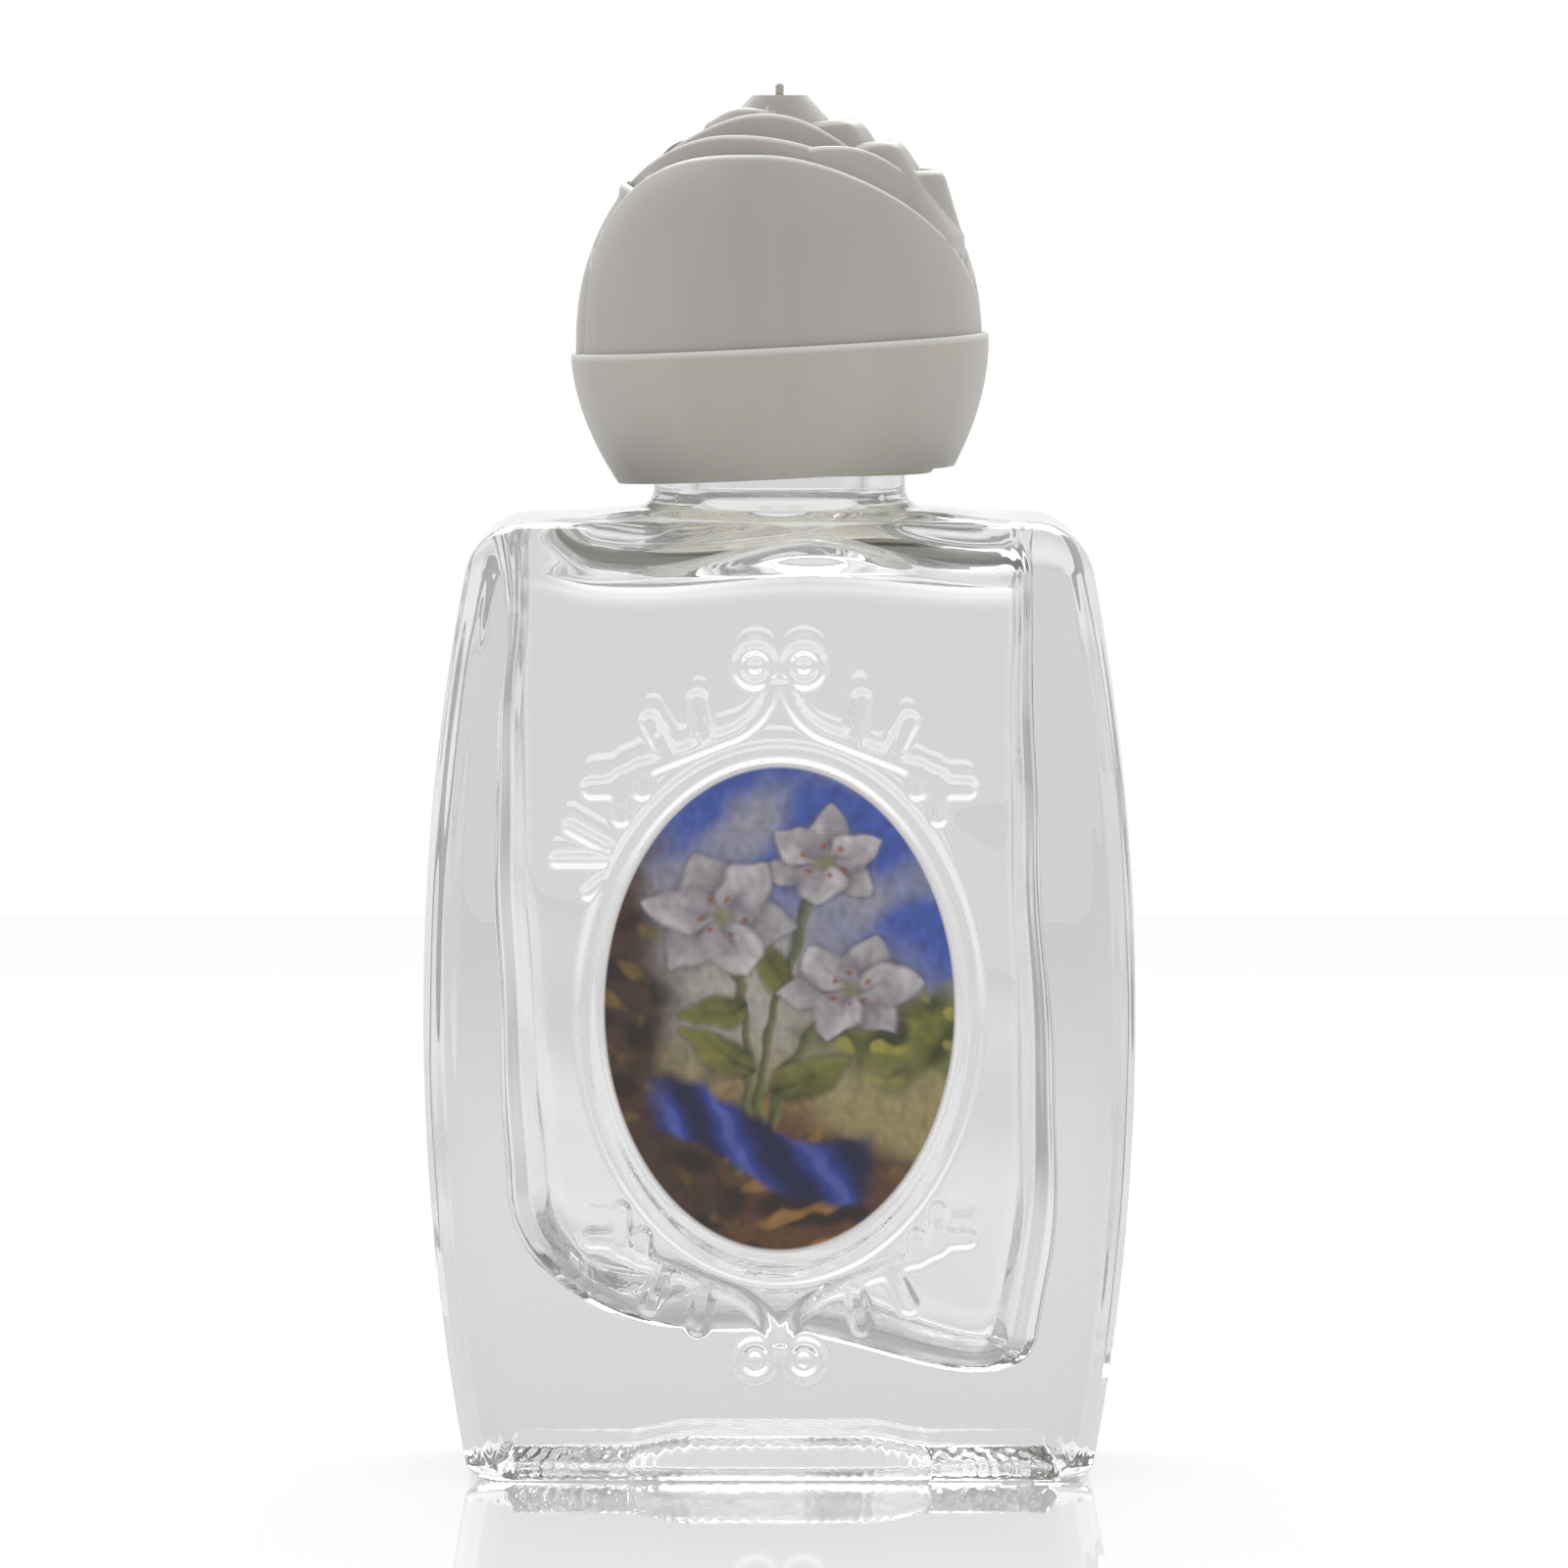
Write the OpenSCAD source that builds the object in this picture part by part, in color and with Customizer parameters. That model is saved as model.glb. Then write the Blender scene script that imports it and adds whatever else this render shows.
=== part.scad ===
// Small flat glass bottle with an oval label and a screw cap shaped as a rose.
// Millimetres, +Z up, origin at the centre of the base, the label faces -Y.

/* [Glass body] */
// Width of the body at its widest
body_w = 43.4; // [40:0.2:52]
// Depth of the body, front panel to back panel
body_d = 26; // [24:0.2:34]
// Height of the shoulder edge
body_h = 58.2; // [54:0.2:70]
// Height at which the sides are widest
belly_z = 28; // [24:0.5:34]
// Radius of the curved sides, seen from the front
side_r = 144; // [110:1:300]
// Radius of the upright edges
edge_r = 3; // [2:0.1:4]
// Radius of the edge round the shoulder
shoulder_r = 3; // [2:0.1:3.4]
// Radius of the edge round the base
heel_r = 1.6; // [0.8:0.1:2.4]
// Rise of the shoulder from its edge to the neck
shoulder_rise = 0.6; // [0.2:0.1:2]
// Width of the hollow under the base
pushup_w = 19; // [12:0.5:19]
// Height of the hollow under the base
pushup_h = 1.4; // [0.6:0.1:2.5]

/* [Glass cavity] */
// Thickness of the side walls
side_wall = 4.1; // [2.5:0.1:5]
// Thickness of the front and back walls
panel_wall = 2.8; // [1.8:0.1:4]
// Thickness of the glass under the shoulder
roof_wall = 3.4; // [2:0.1:6]
// Thickness of the base at the left, where the glass settled thick
floor_left = 10; // [5:0.1:12]
// Thickness of the base at the right
floor_right = 6.1; // [4:0.1:12]
// Inner corner radius at the lower left
cavity_left_r = 6; // [3:0.1:7]
// Inner corner radius at the lower right
cavity_right_r = 2.7; // [2:0.1:6]
// Inner corner radius under the shoulder
cavity_top_r = 2.2; // [1.5:0.1:4]

/* [Neck] */
// Outer diameter of the neck
neck_d = 15.4; // [14:0.1:16]
// Inner diameter of the neck
bore_d = 10; // [8:0.1:11]
// Height of the neck above the shoulder
neck_h = 10; // [9:0.1:13]
// Radius where the neck runs into the shoulder
neck_root_r = 1.2; // [0.5:0.1:1.4]
// Radius of the outer edge of the lip
lip_r = 0.8; // [0.3:0.1:1.2]

/* [Label and moulded ornament] */
// Width of the oval label
label_w = 21.5; // [19:0.1:23]
// Height of the oval label
label_h = 29.7; // [27:0.1:31]
// Radius of the label's upper and lower ends
label_end_r = 8; // [7:0.1:9]
// Height of the centre of the moulded oval
panel_z = 28.4; // [27:0.1:30]
// How far the label sits above the centre of the moulded oval
label_up = 0.4; // [0:0.1:0.5]
// Thickness of the label
label_t = 0.12; // [0.08:0.01:0.3]
// Gap between the label's edge and the moulded rim
rim_gap = 0.55; // [0.5:0.05:1]
// Width of the moulded rim
rim_w = 1.1; // [0.6:0.1:1.2]
// Height of the rim and the branches above the panel
relief_h = 0.35; // [0.2:0.05:0.6]
// Width of a branch's stem
stem_w = 0.8; // [0.5:0.05:1]
// Width of a leaf
leaf_w = 1.15; // [0.8:0.05:1.3]
// Outer diameter of a scroll
scroll_d = 2.7; // [2.2:0.1:2.8]
// Radius in which a stem leaves its scroll
stem_bend_r = 4; // [3:0.1:5]

/* [Cap sleeve and liner] */
// Gap between the neck and the sleeve, which the thread bridges
thread_gap = 1.05; // [0.8:0.05:1.2]
// Wall of the sleeve
sleeve_wall = 0.7; // [0.5:0.05:0.9]
// Thickness of the sleeve's top plate
plate_t = 1.2; // [0.8:0.1:2]
// Height of the sleeve's open end above the shoulder
sleeve_lift = 2.1; // [1.8:0.1:4]
// Thickness of the sealing liner
liner_t = 1; // [0.6:0.1:2]
// Gap between the liner and the sleeve round it
liner_gap = 0.3; // [0.1:0.05:0.6]

/* [Cap collar] */
// How far the collar's lip stands out from its foot
collar_flare = 2.5; // [1.8:0.1:3.5]
// Height of the collar
collar_h = 8; // [7:0.1:8.2]
// Wall of the collar
collar_wall = 0.9; // [0.6:0.1:1]
// Wall at the collar's thin lip
collar_lip_t = 0.22; // [0.15:0.01:0.4]
// Wall at the collar's foot
collar_foot_t = 0.3; // [0.2:0.05:0.6]
// Gap between the sleeve and the collar's foot
collar_gap = 0.55; // [0.5:0.05:0.8]
// Lean of the collar, which sits askew on the sleeve
collar_tilt = 3; // [0:0.5:3]

/* [Cap rose] */
// Height of the rose above the collar's lip
rose_h = 15.2; // [14:0.1:18]
// Depth of the root that plugs into the collar
root_h = 2.4; // [1.5:0.1:3]
// Gap between the root and the collar round it
root_gap = 0.12; // [0.1:0.01:0.3]
// Wall of the hollow rose
rose_wall = 1.5; // [1.2:0.1:1.8]
// Thickness of a petal at its edge
petal_t = 0.6; // [0.5:0.05:1]
// Diameter of the post inside the rose that stands on the sleeve
post_d = 9; // [6:0.5:12]
// Width of the flat tip
tip_d = 3.3; // [2:0.1:4]
// Diameter of the moulding stub on the tip
stub_d = 0.5; // [0.3:0.05:1]
// Height of the moulding stub on the tip
stub_h = 0.7; // [0.2:0.1:1.5]

/* [Hidden] */
$fn = 64;
slip = 0.01;
sink = 0.5;

neck_base = body_h + shoulder_rise;
lip_z = neck_base + neck_h;
bore_r = bore_d / 2;
sleeve_bore_r = neck_d / 2 + thread_gap;
sleeve_r = sleeve_bore_r + sleeve_wall;
plate_z = lip_z + liner_t;
sleeve_top = plate_z + plate_t;
collar_hole_r = sleeve_r + collar_gap;
collar_foot_r = collar_hole_r + collar_foot_t;
collar_r = collar_foot_r + collar_flare;
rose_r = collar_r - collar_lip_t - root_gap;

// Glass bottle: half width of the body at height z
function half_w(z) = body_w / 2 - side_r + sqrt(side_r * side_r - (z - belly_z) * (z - belly_z));

// Levels of the body, each a height and how far the outline is drawn in there
arc_steps = 5;
side_steps = 7;
heel_levels = [for (i = [0:arc_steps]) let (a = 90 * i / arc_steps)
    [heel_r * (1 - cos(a)), heel_r * (1 - sin(a))]];
side_levels = [for (i = [1:side_steps - 1])
    [heel_r + (body_h - shoulder_r - heel_r) * i / side_steps, 0]];
shoulder_levels = [for (i = [0:arc_steps]) let (a = 90 * i / arc_steps)
    [body_h - shoulder_r + shoulder_r * sin(a), shoulder_r * (1 - cos(a))]];

// One level of the body: four round corners of a thin plate
module body_plate(z, inset) {
    r = max(edge_r - inset, sink);
    w = half_w(z) - inset - r;
    d = body_d / 2 - inset - r;
    for (x = [-w, w], y = [-d, d])
        translate([x, y, min(z, body_h - slip)]) cylinder(h = slip, r = r, $fn = 24);
}

module body_outside() {
    hull() {
        for (level = concat(heel_levels, side_levels, shoulder_levels)) body_plate(level[0], level[1]);
        translate([0, 0, belly_z]) cylinder(h = neck_base - belly_z, r = neck_d / 2 + neck_root_r, $fn = 32);
    }
}

// One corner of the cavity, front and back, with its ball at height z
module cavity_corner(side, z, r) {
    x = side * (half_w(z) - side_wall - r);
    y = body_d / 2 - panel_wall - r;
    for (s = [-1, 1]) translate([x, s * y, z]) sphere(r = r, $fn = 24);
}

module cavity() {
    top_z = body_h - roof_wall - cavity_top_r;
    hull() {
        cavity_corner(-1, floor_left + cavity_left_r, cavity_left_r);
        cavity_corner(1, floor_right + cavity_right_r, cavity_right_r);
        for (side = [-1, 1]) {
            cavity_corner(side, belly_z, cavity_right_r);
            cavity_corner(side, top_z, cavity_top_r);
        }
    }
    translate([0, 0, top_z]) cylinder(h = neck_base - top_z, r1 = neck_d / 2, r2 = bore_r);
    translate([0, 0, neck_base - slip]) cylinder(h = neck_h + sink, r = bore_r);
}

// Neck with a rounded lip and a fillet at its root
module neck() {
    r = neck_d / 2;
    translate([0, 0, neck_base]) rotate_extrude() difference() {
        union() {
            translate([bore_r - sink, -sink]) square([r - lip_r - bore_r + sink, neck_h + sink]);
            translate([bore_r - sink, -sink]) square([r - bore_r + sink, neck_h - lip_r + sink]);
            translate([r - lip_r, neck_h - lip_r]) circle(r = lip_r);
            translate([bore_r, -sink]) square([r + neck_root_r - bore_r, neck_root_r + sink]);
        }
        translate([r + neck_root_r, neck_root_r]) circle(r = neck_root_r);
    }
}

// Oval of four arcs that meet smoothly, grown outwards by g
module oval(g = 0) {
    a = label_w / 2;
    b = label_h / 2;
    e = label_end_r;
    side = (a * a + (b - e) * (b - e) - e * e) / (2 * (a - e));
    touch = (b - e) * (side + g) / (side - e);
    intersection() {
        translate([side - a, 0]) circle(r = side + g);
        translate([a - side, 0]) circle(r = side + g);
        translate([-a - g, -touch]) square([2 * (a + g), 2 * touch]);
    }
    for (s = [-1, 1]) translate([0, s * (b - e)]) circle(r = e + g);
}

// Bar with round ends from p to q, a little slimmer between them
bar_waist = 0.96;
module bar(p, q, w) {
    run = q - p;
    for (end = [p, q]) translate(end) circle(d = w);
    translate(p) rotate(atan2(run[1], run[0])) translate([0, -w * bar_waist / 2]) square([norm(run), w * bar_waist]);
}

// Points of a branch, from the centre of the moulded oval, clear of its rim
rim_top = label_h / 2 + rim_gap + rim_w;
bend = [4.4, rim_top + 4.1];
fork = bend + stem_bend_r * [cos(253), sin(253)];
elbow = [9.6, rim_top - 1.9];
scroll = [1.48, rim_top + 4.55];
// Leaves: place along the straight stem, and the run to the leaf's tip
leaves = [[0.24, [0, 2.2]], [0.67, [0.5, 2]], [0.74, [0, -1.6]], [1, [0.1, -2.3]], [1, [2, -0.5]]];

module branch() {
    translate(bend) intersection() {
        difference() {
            circle(r = stem_bend_r + stem_w / 2);
            circle(r = stem_bend_r - stem_w / 2);
        }
        polygon([[0, 0], for (a = [185, 219, 253]) 2 * stem_bend_r * [cos(a), sin(a)]]);
    }
    bar(fork, elbow, stem_w);
    for (leaf = leaves) {
        foot = fork + leaf[0] * (elbow - fork);
        bar(foot, foot + leaf[1], leaf_w);
    }
    translate(scroll) difference() {
        circle(d = scroll_d);
        circle(d = scroll_d - 2 * stem_w);
    }
    translate(scroll) circle(d = scroll_d - 3 * stem_w + sink);
}

// Rim and four branches moulded on a panel, front or back
module ornament(turn) {
    rotate([0, 0, turn]) translate([0, sink - body_d / 2, panel_z]) rotate([90, 0, 0])
        linear_extrude(relief_h + sink) {
            difference() {
                oval(rim_gap + rim_w);
                oval(rim_gap);
            }
            for (x = [0, 1], y = [0, 1]) mirror([x, 0]) mirror([0, y]) branch();
        }
}

module glass_bottle() {
    pushup_r = (pushup_w * pushup_w / 4 + pushup_h * pushup_h) / (2 * pushup_h);
    color([0.86, 0.9, 0.88, 0.4]) difference() {
        union() {
            body_outside();
            neck();
            ornament(0);
            ornament(180);
        }
        cavity();
        translate([0, 0, pushup_h - pushup_r]) sphere(r = pushup_r);
    }
}

module front_label() {
    color([0.44, 0.47, 0.6]) translate([0, -body_d / 2, panel_z + label_up]) rotate([90, 0, 0])
        linear_extrude(label_t) oval();
}

module cap_liner() {
    color([0.95, 0.95, 0.93]) translate([0, 0, lip_z]) cylinder(h = liner_t, r = sleeve_bore_r - liner_gap);
}

module cap_sleeve() {
    foot_z = neck_base + sleeve_lift;
    color([0.68, 0.66, 0.6]) difference() {
        translate([0, 0, foot_z]) cylinder(h = sleeve_top - foot_z, r = sleeve_r);
        translate([0, 0, foot_z - sink]) cylinder(h = plate_z - foot_z + sink, r = sleeve_bore_r);
    }
}

// Collar outline: radius outside and inside at depth t below its lip
function collar_out(t) = collar_r - collar_flare * pow(t / collar_h, 1.9);
function collar_in(t) = max(collar_hole_r,
    collar_out(t) - collar_lip_t - (collar_wall - collar_lip_t) * min(1, t / 2));
collar_steps = 10;

// Puts a shape on the collar's leaning lip
module on_collar() {
    translate([0, 0, lip_z]) rotate([0, -collar_tilt, 0]) children();
}

module cap_collar() {
    depths = [for (i = [0:collar_steps]) collar_h * i / collar_steps];
    color([0.67, 0.65, 0.62]) on_collar() rotate_extrude() polygon(concat(
        [for (t = depths) [collar_out(t), -t]],
        [for (i = [collar_steps:-1:0]) [collar_in(depths[i]), -depths[i]]]));
}

// Rose outline: radius at height h above the collar's lip
function rose_out(h) = rose_r * pow(1 - pow(min(max(h, 0) / rose_h, 1), 2.2), 0.625);
// The bud between the petals ends in the flat tip
function bud_out(h) = min(rose_out(min(h, bud_top)) - petal_t, tip_d / 2 + bud_lean * (rose_h - h));
bud_top = rose_h - 3.2;
bud_lean = 0.9;
bud_steps = 16;
petal_ribs = 12;
petal_steps = 4;
// How far an inner petal is tucked in under the outline, and the height above which it may stand out
petal_tuck = 0.45;
tuck_top = 5;
// Petals, outer ones first: turn from the front, drop of the tip below the rose's, reach to the left and right,
// fall of the edge to its ends, squareness of the edge to the left and right, depth below the edge,
// lean of the wall (0 follows the rose's outline), and how far the middle, left end and right end stand out
petals = [
    [-18, 3.6, [58, 103], 11.7, [8, 2.6], 13, 0, 0, 0, 0],
    [180, 3.9, [98, 112], 11.3, [2.6, 2.6], 13, 0, 0, -0.6, -0.6],
    [100, 4.55, [46, 46], 2, [5, 5], 12, 0.3, 1.5, -1.2, 0],
    [-105, 5.3, [47, 50], 3, [3, 3], 12, 0.5, 0.45, 0, -0.8],
    [-28, 2.4, [78, 100], 7, [2.3, 2.3], 8, 0.45, 0, 0, -1.5],
    [34, 3.05, [30, 48], 6.5, [2.3, 2.3], 8, 0.45, 0.1, -2.1, -0.3],
    [84, 2.75, [44, 44], 2, [4, 4], 7, 0.67, 0.9, -1.6, -0.4],
    [150, 2.9, [60, 60], 4.5, [2.3, 2.3], 8, 0.45, 0.2, -0.5, -0.5],
    [232, 2.7, [62, 62], 4.5, [2.3, 2.3], 8, 0.45, 0.1, -0.5, -0.5],
    [-14, 1.1, [64, 64], 3, [2.3, 2.3], 6, 0.5, 0, -0.3, -0.3],
    [80, 1.45, [60, 60], 1.2, [3, 3], 6, 0.7, 0.4, -2.4, -0.6],
    [180, 1.4, [80, 80], 3, [2.3, 2.3], 6, 0.5, 0, -0.3, -0.3],
    [-50, 0.75, [52, 52], 0.9, [2.3, 2.3], 5, 0.6, -0.2, -0.4, -1.6]
];
function ease(t) = let (s = min(max(t, 0), 1)) s * s * (3 - 2 * s);
function sided(pair, u) = pair[u < 0 ? 0 : 1];
// Height of a petal's edge, u from -1 at its left end to 1 at its right end
function petal_edge(p, u) = rose_h - p[1] - p[3] * (1 - pow(1 - pow(min(abs(u), 1), sided(p[4], u)), 0.6));
function petal_stand(p, u) = let (start = p[6] == 0 ? 0.86 : 0.3)
    p[7] + (sided([p[8], p[9]], u) - p[7]) * ease((abs(u) - start) / (1 - start));
// Outer radius of a petal at height h
function petal_out(p, u, h) = let (edge = petal_edge(p, u), stand = petal_stand(p, u))
    p[6] == 0 ? rose_out(h) + stand : min(
        rose_out(edge) + stand + p[6] * (edge - h),
        rose_out(h) + max(stand, 0) - petal_tuck * ease(edge - h),
        rose_out(min(h, tuck_top)) - petal_tuck);

// Solid of revolution from below the collar's lip up through a list of [radius, height]
module rose_form(outline) {
    last = outline[len(outline) - 1];
    rotate_extrude() polygon(concat(
        [[0, -root_h], [outline[0][0], -root_h]], outline, [[0, last[1]]]));
}

// One upright rib of a petal: beads up to the petal's edge, each with a lower bead behind it that sits on the bud
module petal_rib(p, u) {
    edge = petal_edge(p, u);
    for (i = [0:petal_steps]) {
        h = edge - petal_t / 2 - p[5] * pow(i / petal_steps, 1.3);
        rotate([0, 0, u * sided(p[2], u)]) for (bead = [[petal_out(p, u, h), h], [bud_out(h), h - petal_t]])
            translate([0, petal_t / 2 - bead[0], bead[1]]) sphere(d = petal_t, $fn = 8);
    }
}

module petal(p) {
    rotate([0, 0, p[0]]) for (i = [0:petal_ribs - 1]) hull()
        for (k = [i, i + 1]) petal_rib(p, 2 * k / petal_ribs - 1);
}

module rose_petals() {
    rose_form([for (i = [0:bud_steps]) let (h = rose_h * i / bud_steps) [bud_out(h), h]]);
    for (p = petals) petal(p);
    translate([0, 0, rose_h - slip]) cylinder(h = stub_h + slip, d = stub_d, $fn = 12);
}

// Root of the rose, which plugs into the collar and leans with it
module rose_root() {
    root_steps = 4;
    depths = [for (i = [0:root_steps]) root_h * i / root_steps];
    rotate_extrude() polygon(concat(
        [[collar_hole_r, sink], [collar_in(0) - root_gap - sink, sink]],
        [for (t = depths) [collar_in(t) - root_gap, -t]],
        [[collar_hole_r, -root_h]]));
}

// Hollow of the rose, round the post that stands on the sleeve
module rose_hollow() {
    top = rose_h - petals[0][1] - 2 * rose_wall;
    steps = 6;
    difference() {
        rose_form([for (i = [0:steps]) let (h = top * i / steps) [bud_out(h) - rose_wall, h]]);
        translate([0, 0, sleeve_top - lip_z]) cylinder(h = top, d = post_d);
    }
}

module rose_head() {
    color([0.64, 0.62, 0.6]) difference() {
        union() {
            intersection() {
                translate([0, 0, lip_z]) rose_petals();
                on_collar() cylinder(h = 2 * rose_h, r = 2 * rose_r);
            }
            on_collar() rose_root();
        }
        translate([0, 0, lip_z]) rose_hollow();
    }
}

glass_bottle();
front_label();
cap_liner();
cap_sleeve();
cap_collar();
rose_head();
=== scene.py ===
# Flat glass bottle with a moulded oval frame, a paper label and a screw cap shaped as a rose
import math
from collections import namedtuple

import bpy
import numpy as np
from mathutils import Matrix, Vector


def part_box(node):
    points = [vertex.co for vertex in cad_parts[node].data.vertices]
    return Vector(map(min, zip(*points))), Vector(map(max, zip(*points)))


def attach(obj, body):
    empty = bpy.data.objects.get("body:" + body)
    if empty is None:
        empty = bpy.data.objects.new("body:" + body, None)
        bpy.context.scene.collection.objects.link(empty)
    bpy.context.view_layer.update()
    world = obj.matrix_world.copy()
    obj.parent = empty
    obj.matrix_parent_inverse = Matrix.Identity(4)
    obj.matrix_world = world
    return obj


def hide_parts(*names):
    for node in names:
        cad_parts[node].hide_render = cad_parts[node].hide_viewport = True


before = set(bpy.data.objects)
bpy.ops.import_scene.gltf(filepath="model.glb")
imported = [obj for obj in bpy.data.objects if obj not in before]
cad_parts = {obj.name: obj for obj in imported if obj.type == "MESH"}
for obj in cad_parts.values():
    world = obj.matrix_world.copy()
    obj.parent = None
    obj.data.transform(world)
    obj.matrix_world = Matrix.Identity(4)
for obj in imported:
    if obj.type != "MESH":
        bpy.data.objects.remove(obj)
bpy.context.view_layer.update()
mm = 0.001  # the sizes below are millimetres, Blender's are metres


def nodeBox(name):
    low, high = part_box(name)
    return np.array(low) / mm, np.array(high) / mm


def smooth(t):  # 0 to 1 with soft ends
    t = np.clip(t, 0, 1)
    return t * t * (3 - 2 * t)


def mix(a, b, t):
    return a + (b - a) * t


def ringQuads(ringCount, pointCount, start=0):
    ring = start + np.arange(ringCount - 1)[:, None] * pointCount
    here = np.arange(pointCount)[None, :]
    after = (here + 1) % pointCount
    quads = [ring + here, ring + after, ring + pointCount + after, ring + pointCount + here]
    return np.stack(quads, -1).reshape(-1, 4).tolist()


def fan(centre, start, pointCount, up):  # triangles from a centre point to a ring
    here = np.arange(pointCount)
    after = (here + 1) % pointCount
    pair = [start + here, start + after] if up else [start + after, start + here]
    return np.stack([np.full(pointCount, centre), *pair], -1).tolist()


def meshPiece(name, points, faces, material, sharpAngle=None):
    mesh = bpy.data.meshes.new(name)
    mesh.from_pydata((np.asarray(points) * mm).tolist(), [], faces)
    mesh.polygons.foreach_set("use_smooth", [True] * len(mesh.polygons))
    if sharpAngle:
        mesh.set_sharp_from_angle(angle=math.radians(sharpAngle))
    mesh.materials.append(material)
    piece = bpy.data.objects.new(name, mesh)
    bpy.context.scene.collection.objects.link(piece)
    return piece


def lathe(profile, count, tilt=0, pivot=0):  # closed ring of [radius, height] turned about the axis
    angle = np.linspace(0, 2 * np.pi, count, endpoint=False)
    points = [[[r * math.sin(a), -r * math.cos(a), h] for a in angle] for r, h in profile]
    points = leaned(np.array(points).reshape(-1, 3), tilt, pivot)
    return points, ringQuads(len(profile), count)


def leaned(points, tilt, pivot):  # turned about the Y axis through height pivot
    t = math.radians(tilt)
    x, y, z = points.T
    z = z - pivot
    return np.stack([x * math.cos(t) - z * math.sin(t), y, x * math.sin(t) + z * math.cos(t) + pivot], -1)


def dress(piece, body, node):
    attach(piece, body)
    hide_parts(node)
    print(node, "dressed:", len(piece.data.polygons), "faces")


def srgb(red, green, blue):  # 0 to 255 as the eye sees it, to the shader's linear colour
    values = np.array([red, green, blue]) / 255
    linear = np.where(values <= 0.04045, values / 12.92, ((values + 0.055) / 1.055) ** 2.4)
    return (*linear.tolist(), 1)


def newMaterial(name):
    material = bpy.data.materials.new(name)
    material.use_nodes = True
    tree = material.node_tree
    return material, tree, tree.nodes["Principled BSDF"]


def addNode(tree, kind, inputs=None, **settings):
    node = tree.nodes.new(kind)
    for key, value in settings.items():
        setattr(node, key, value)
    for key, value in (inputs or {}).items():
        if isinstance(value, bpy.types.NodeSocket):
            tree.links.new(value, node.inputs[key])
        else:
            node.inputs[key].default_value = value
    return node


def mathNode(tree, operation, a, b=0.0):
    return addNode(tree, "ShaderNodeMath", {0: a, 1: b}, operation=operation).outputs[0]


# Clear glass, faintly green where it is thick
glassLook = dict(tint=(0.97, 0.972, 0.97, 1), index=1.5, absorb=(0.40, 0.44, 0.40, 1), density=9)


def clearGlass():
    material, tree, shader = newMaterial("clearGlass")
    shader.inputs["Base Color"].default_value = glassLook["tint"]
    shader.inputs["Roughness"].default_value = 0
    shader.inputs["IOR"].default_value = glassLook["index"]
    shader.inputs["Transmission Weight"].default_value = 1
    volume = addNode(tree, "ShaderNodeVolumeAbsorption",
                     {"Color": glassLook["absorb"], "Density": glassLook["density"]})
    tree.links.new(volume.outputs[0], tree.nodes["Material Output"].inputs["Volume"])
    return material


# Satin moulded plastic with a fine skin and faint darker bands that vary at random, with a painted highlight
# on its thin rims standing in for backlight shining through them
plasticLook = dict(bandScale=(160, 160, 12), bandRange=(0.35, 0.65), bandDark=0.92, paintedRimLight=(236, 234, 230),
                   skinScale=2600, skinStrength=0.06, skinDepth=0.0001,
                   scatter=(1.0, 0.95, 0.85), scatterDepth=0.0012)


def mouldedPlastic(name, colour, roughness, glow):
    material, tree, shader = newMaterial(name)
    place = addNode(tree, "ShaderNodeTexCoord").outputs["Object"]
    bands = addNode(tree, "ShaderNodeMapping", {"Vector": place, "Scale": plasticLook["bandScale"]})
    cloud = addNode(tree, "ShaderNodeTexNoise", {"Vector": bands.outputs[0], "Scale": 1.0, "Detail": 2})
    tone = addNode(tree, "ShaderNodeValToRGB", {"Fac": cloud.outputs["Fac"]})
    first, last = tone.color_ramp.elements
    first.position, last.position = plasticLook["bandRange"]
    first.color = [c * plasticLook["bandDark"] for c in colour[:3]] + [1]
    last.color = colour
    # painted highlight: the rim attribute mixes the colour towards a pale tone, standing in for backlight
    # through thin plastic
    rim = addNode(tree, "ShaderNodeAttribute", attribute_name="rim").outputs["Fac"]
    rimHighlight = srgb(*plasticLook["paintedRimLight"])
    thin = addNode(tree, "ShaderNodeMix", {0: rim, 6: tone.outputs[0], 7: rimHighlight}, data_type="RGBA")
    tree.links.new(thin.outputs[2], shader.inputs["Base Color"])
    grain = {"Vector": place, "Scale": plasticLook["skinScale"], "Detail": 3}
    skin = addNode(tree, "ShaderNodeTexNoise", grain).outputs["Fac"]
    bump = addNode(tree, "ShaderNodeBump", {"Height": skin, "Strength": plasticLook["skinStrength"],
                                            "Distance": plasticLook["skinDepth"]})
    tree.links.new(bump.outputs[0], shader.inputs["Normal"])
    shader.inputs["Roughness"].default_value = roughness
    shader.inputs["Subsurface Weight"].default_value = glow
    shader.inputs["Subsurface Radius"].default_value = plasticLook["scatter"]
    shader.inputs["Subsurface Scale"].default_value = plasticLook["scatterDepth"]
    return material


def paintedGlow(material, colour, strength):  # painted glow: emission standing in for the light that would reach a face behind glass or a thin wall
    tree = material.node_tree
    inside = addNode(tree, "ShaderNodeAttribute", attribute_name="inside").outputs["Fac"]
    shader = tree.nodes["Principled BSDF"]
    shader.inputs["Emission Color"].default_value = colour
    tree.links.new(mathNode(tree, "MULTIPLY", inside, strength), shader.inputs["Emission Strength"])


def markPaintedGlow(piece, share):  # which points get the painted glow
    mark = piece.data.attributes.new("inside", "FLOAT", "POINT")
    mark.data.foreach_set("value", np.asarray(share, float))


rosePlastic = mouldedPlastic("rosePlastic", srgb(178, 174, 168), roughness=0.38, glow=0.25)
collarPlastic = mouldedPlastic("collarPlastic", srgb(185, 181, 174), roughness=0.42, glow=0.25)
sleevePlastic = mouldedPlastic("sleevePlastic", srgb(216, 210, 186), roughness=0.45, glow=0.3)
linerFoam = mouldedPlastic("linerFoam", srgb(232, 230, 220), roughness=0.8, glow=0.3)
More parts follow.
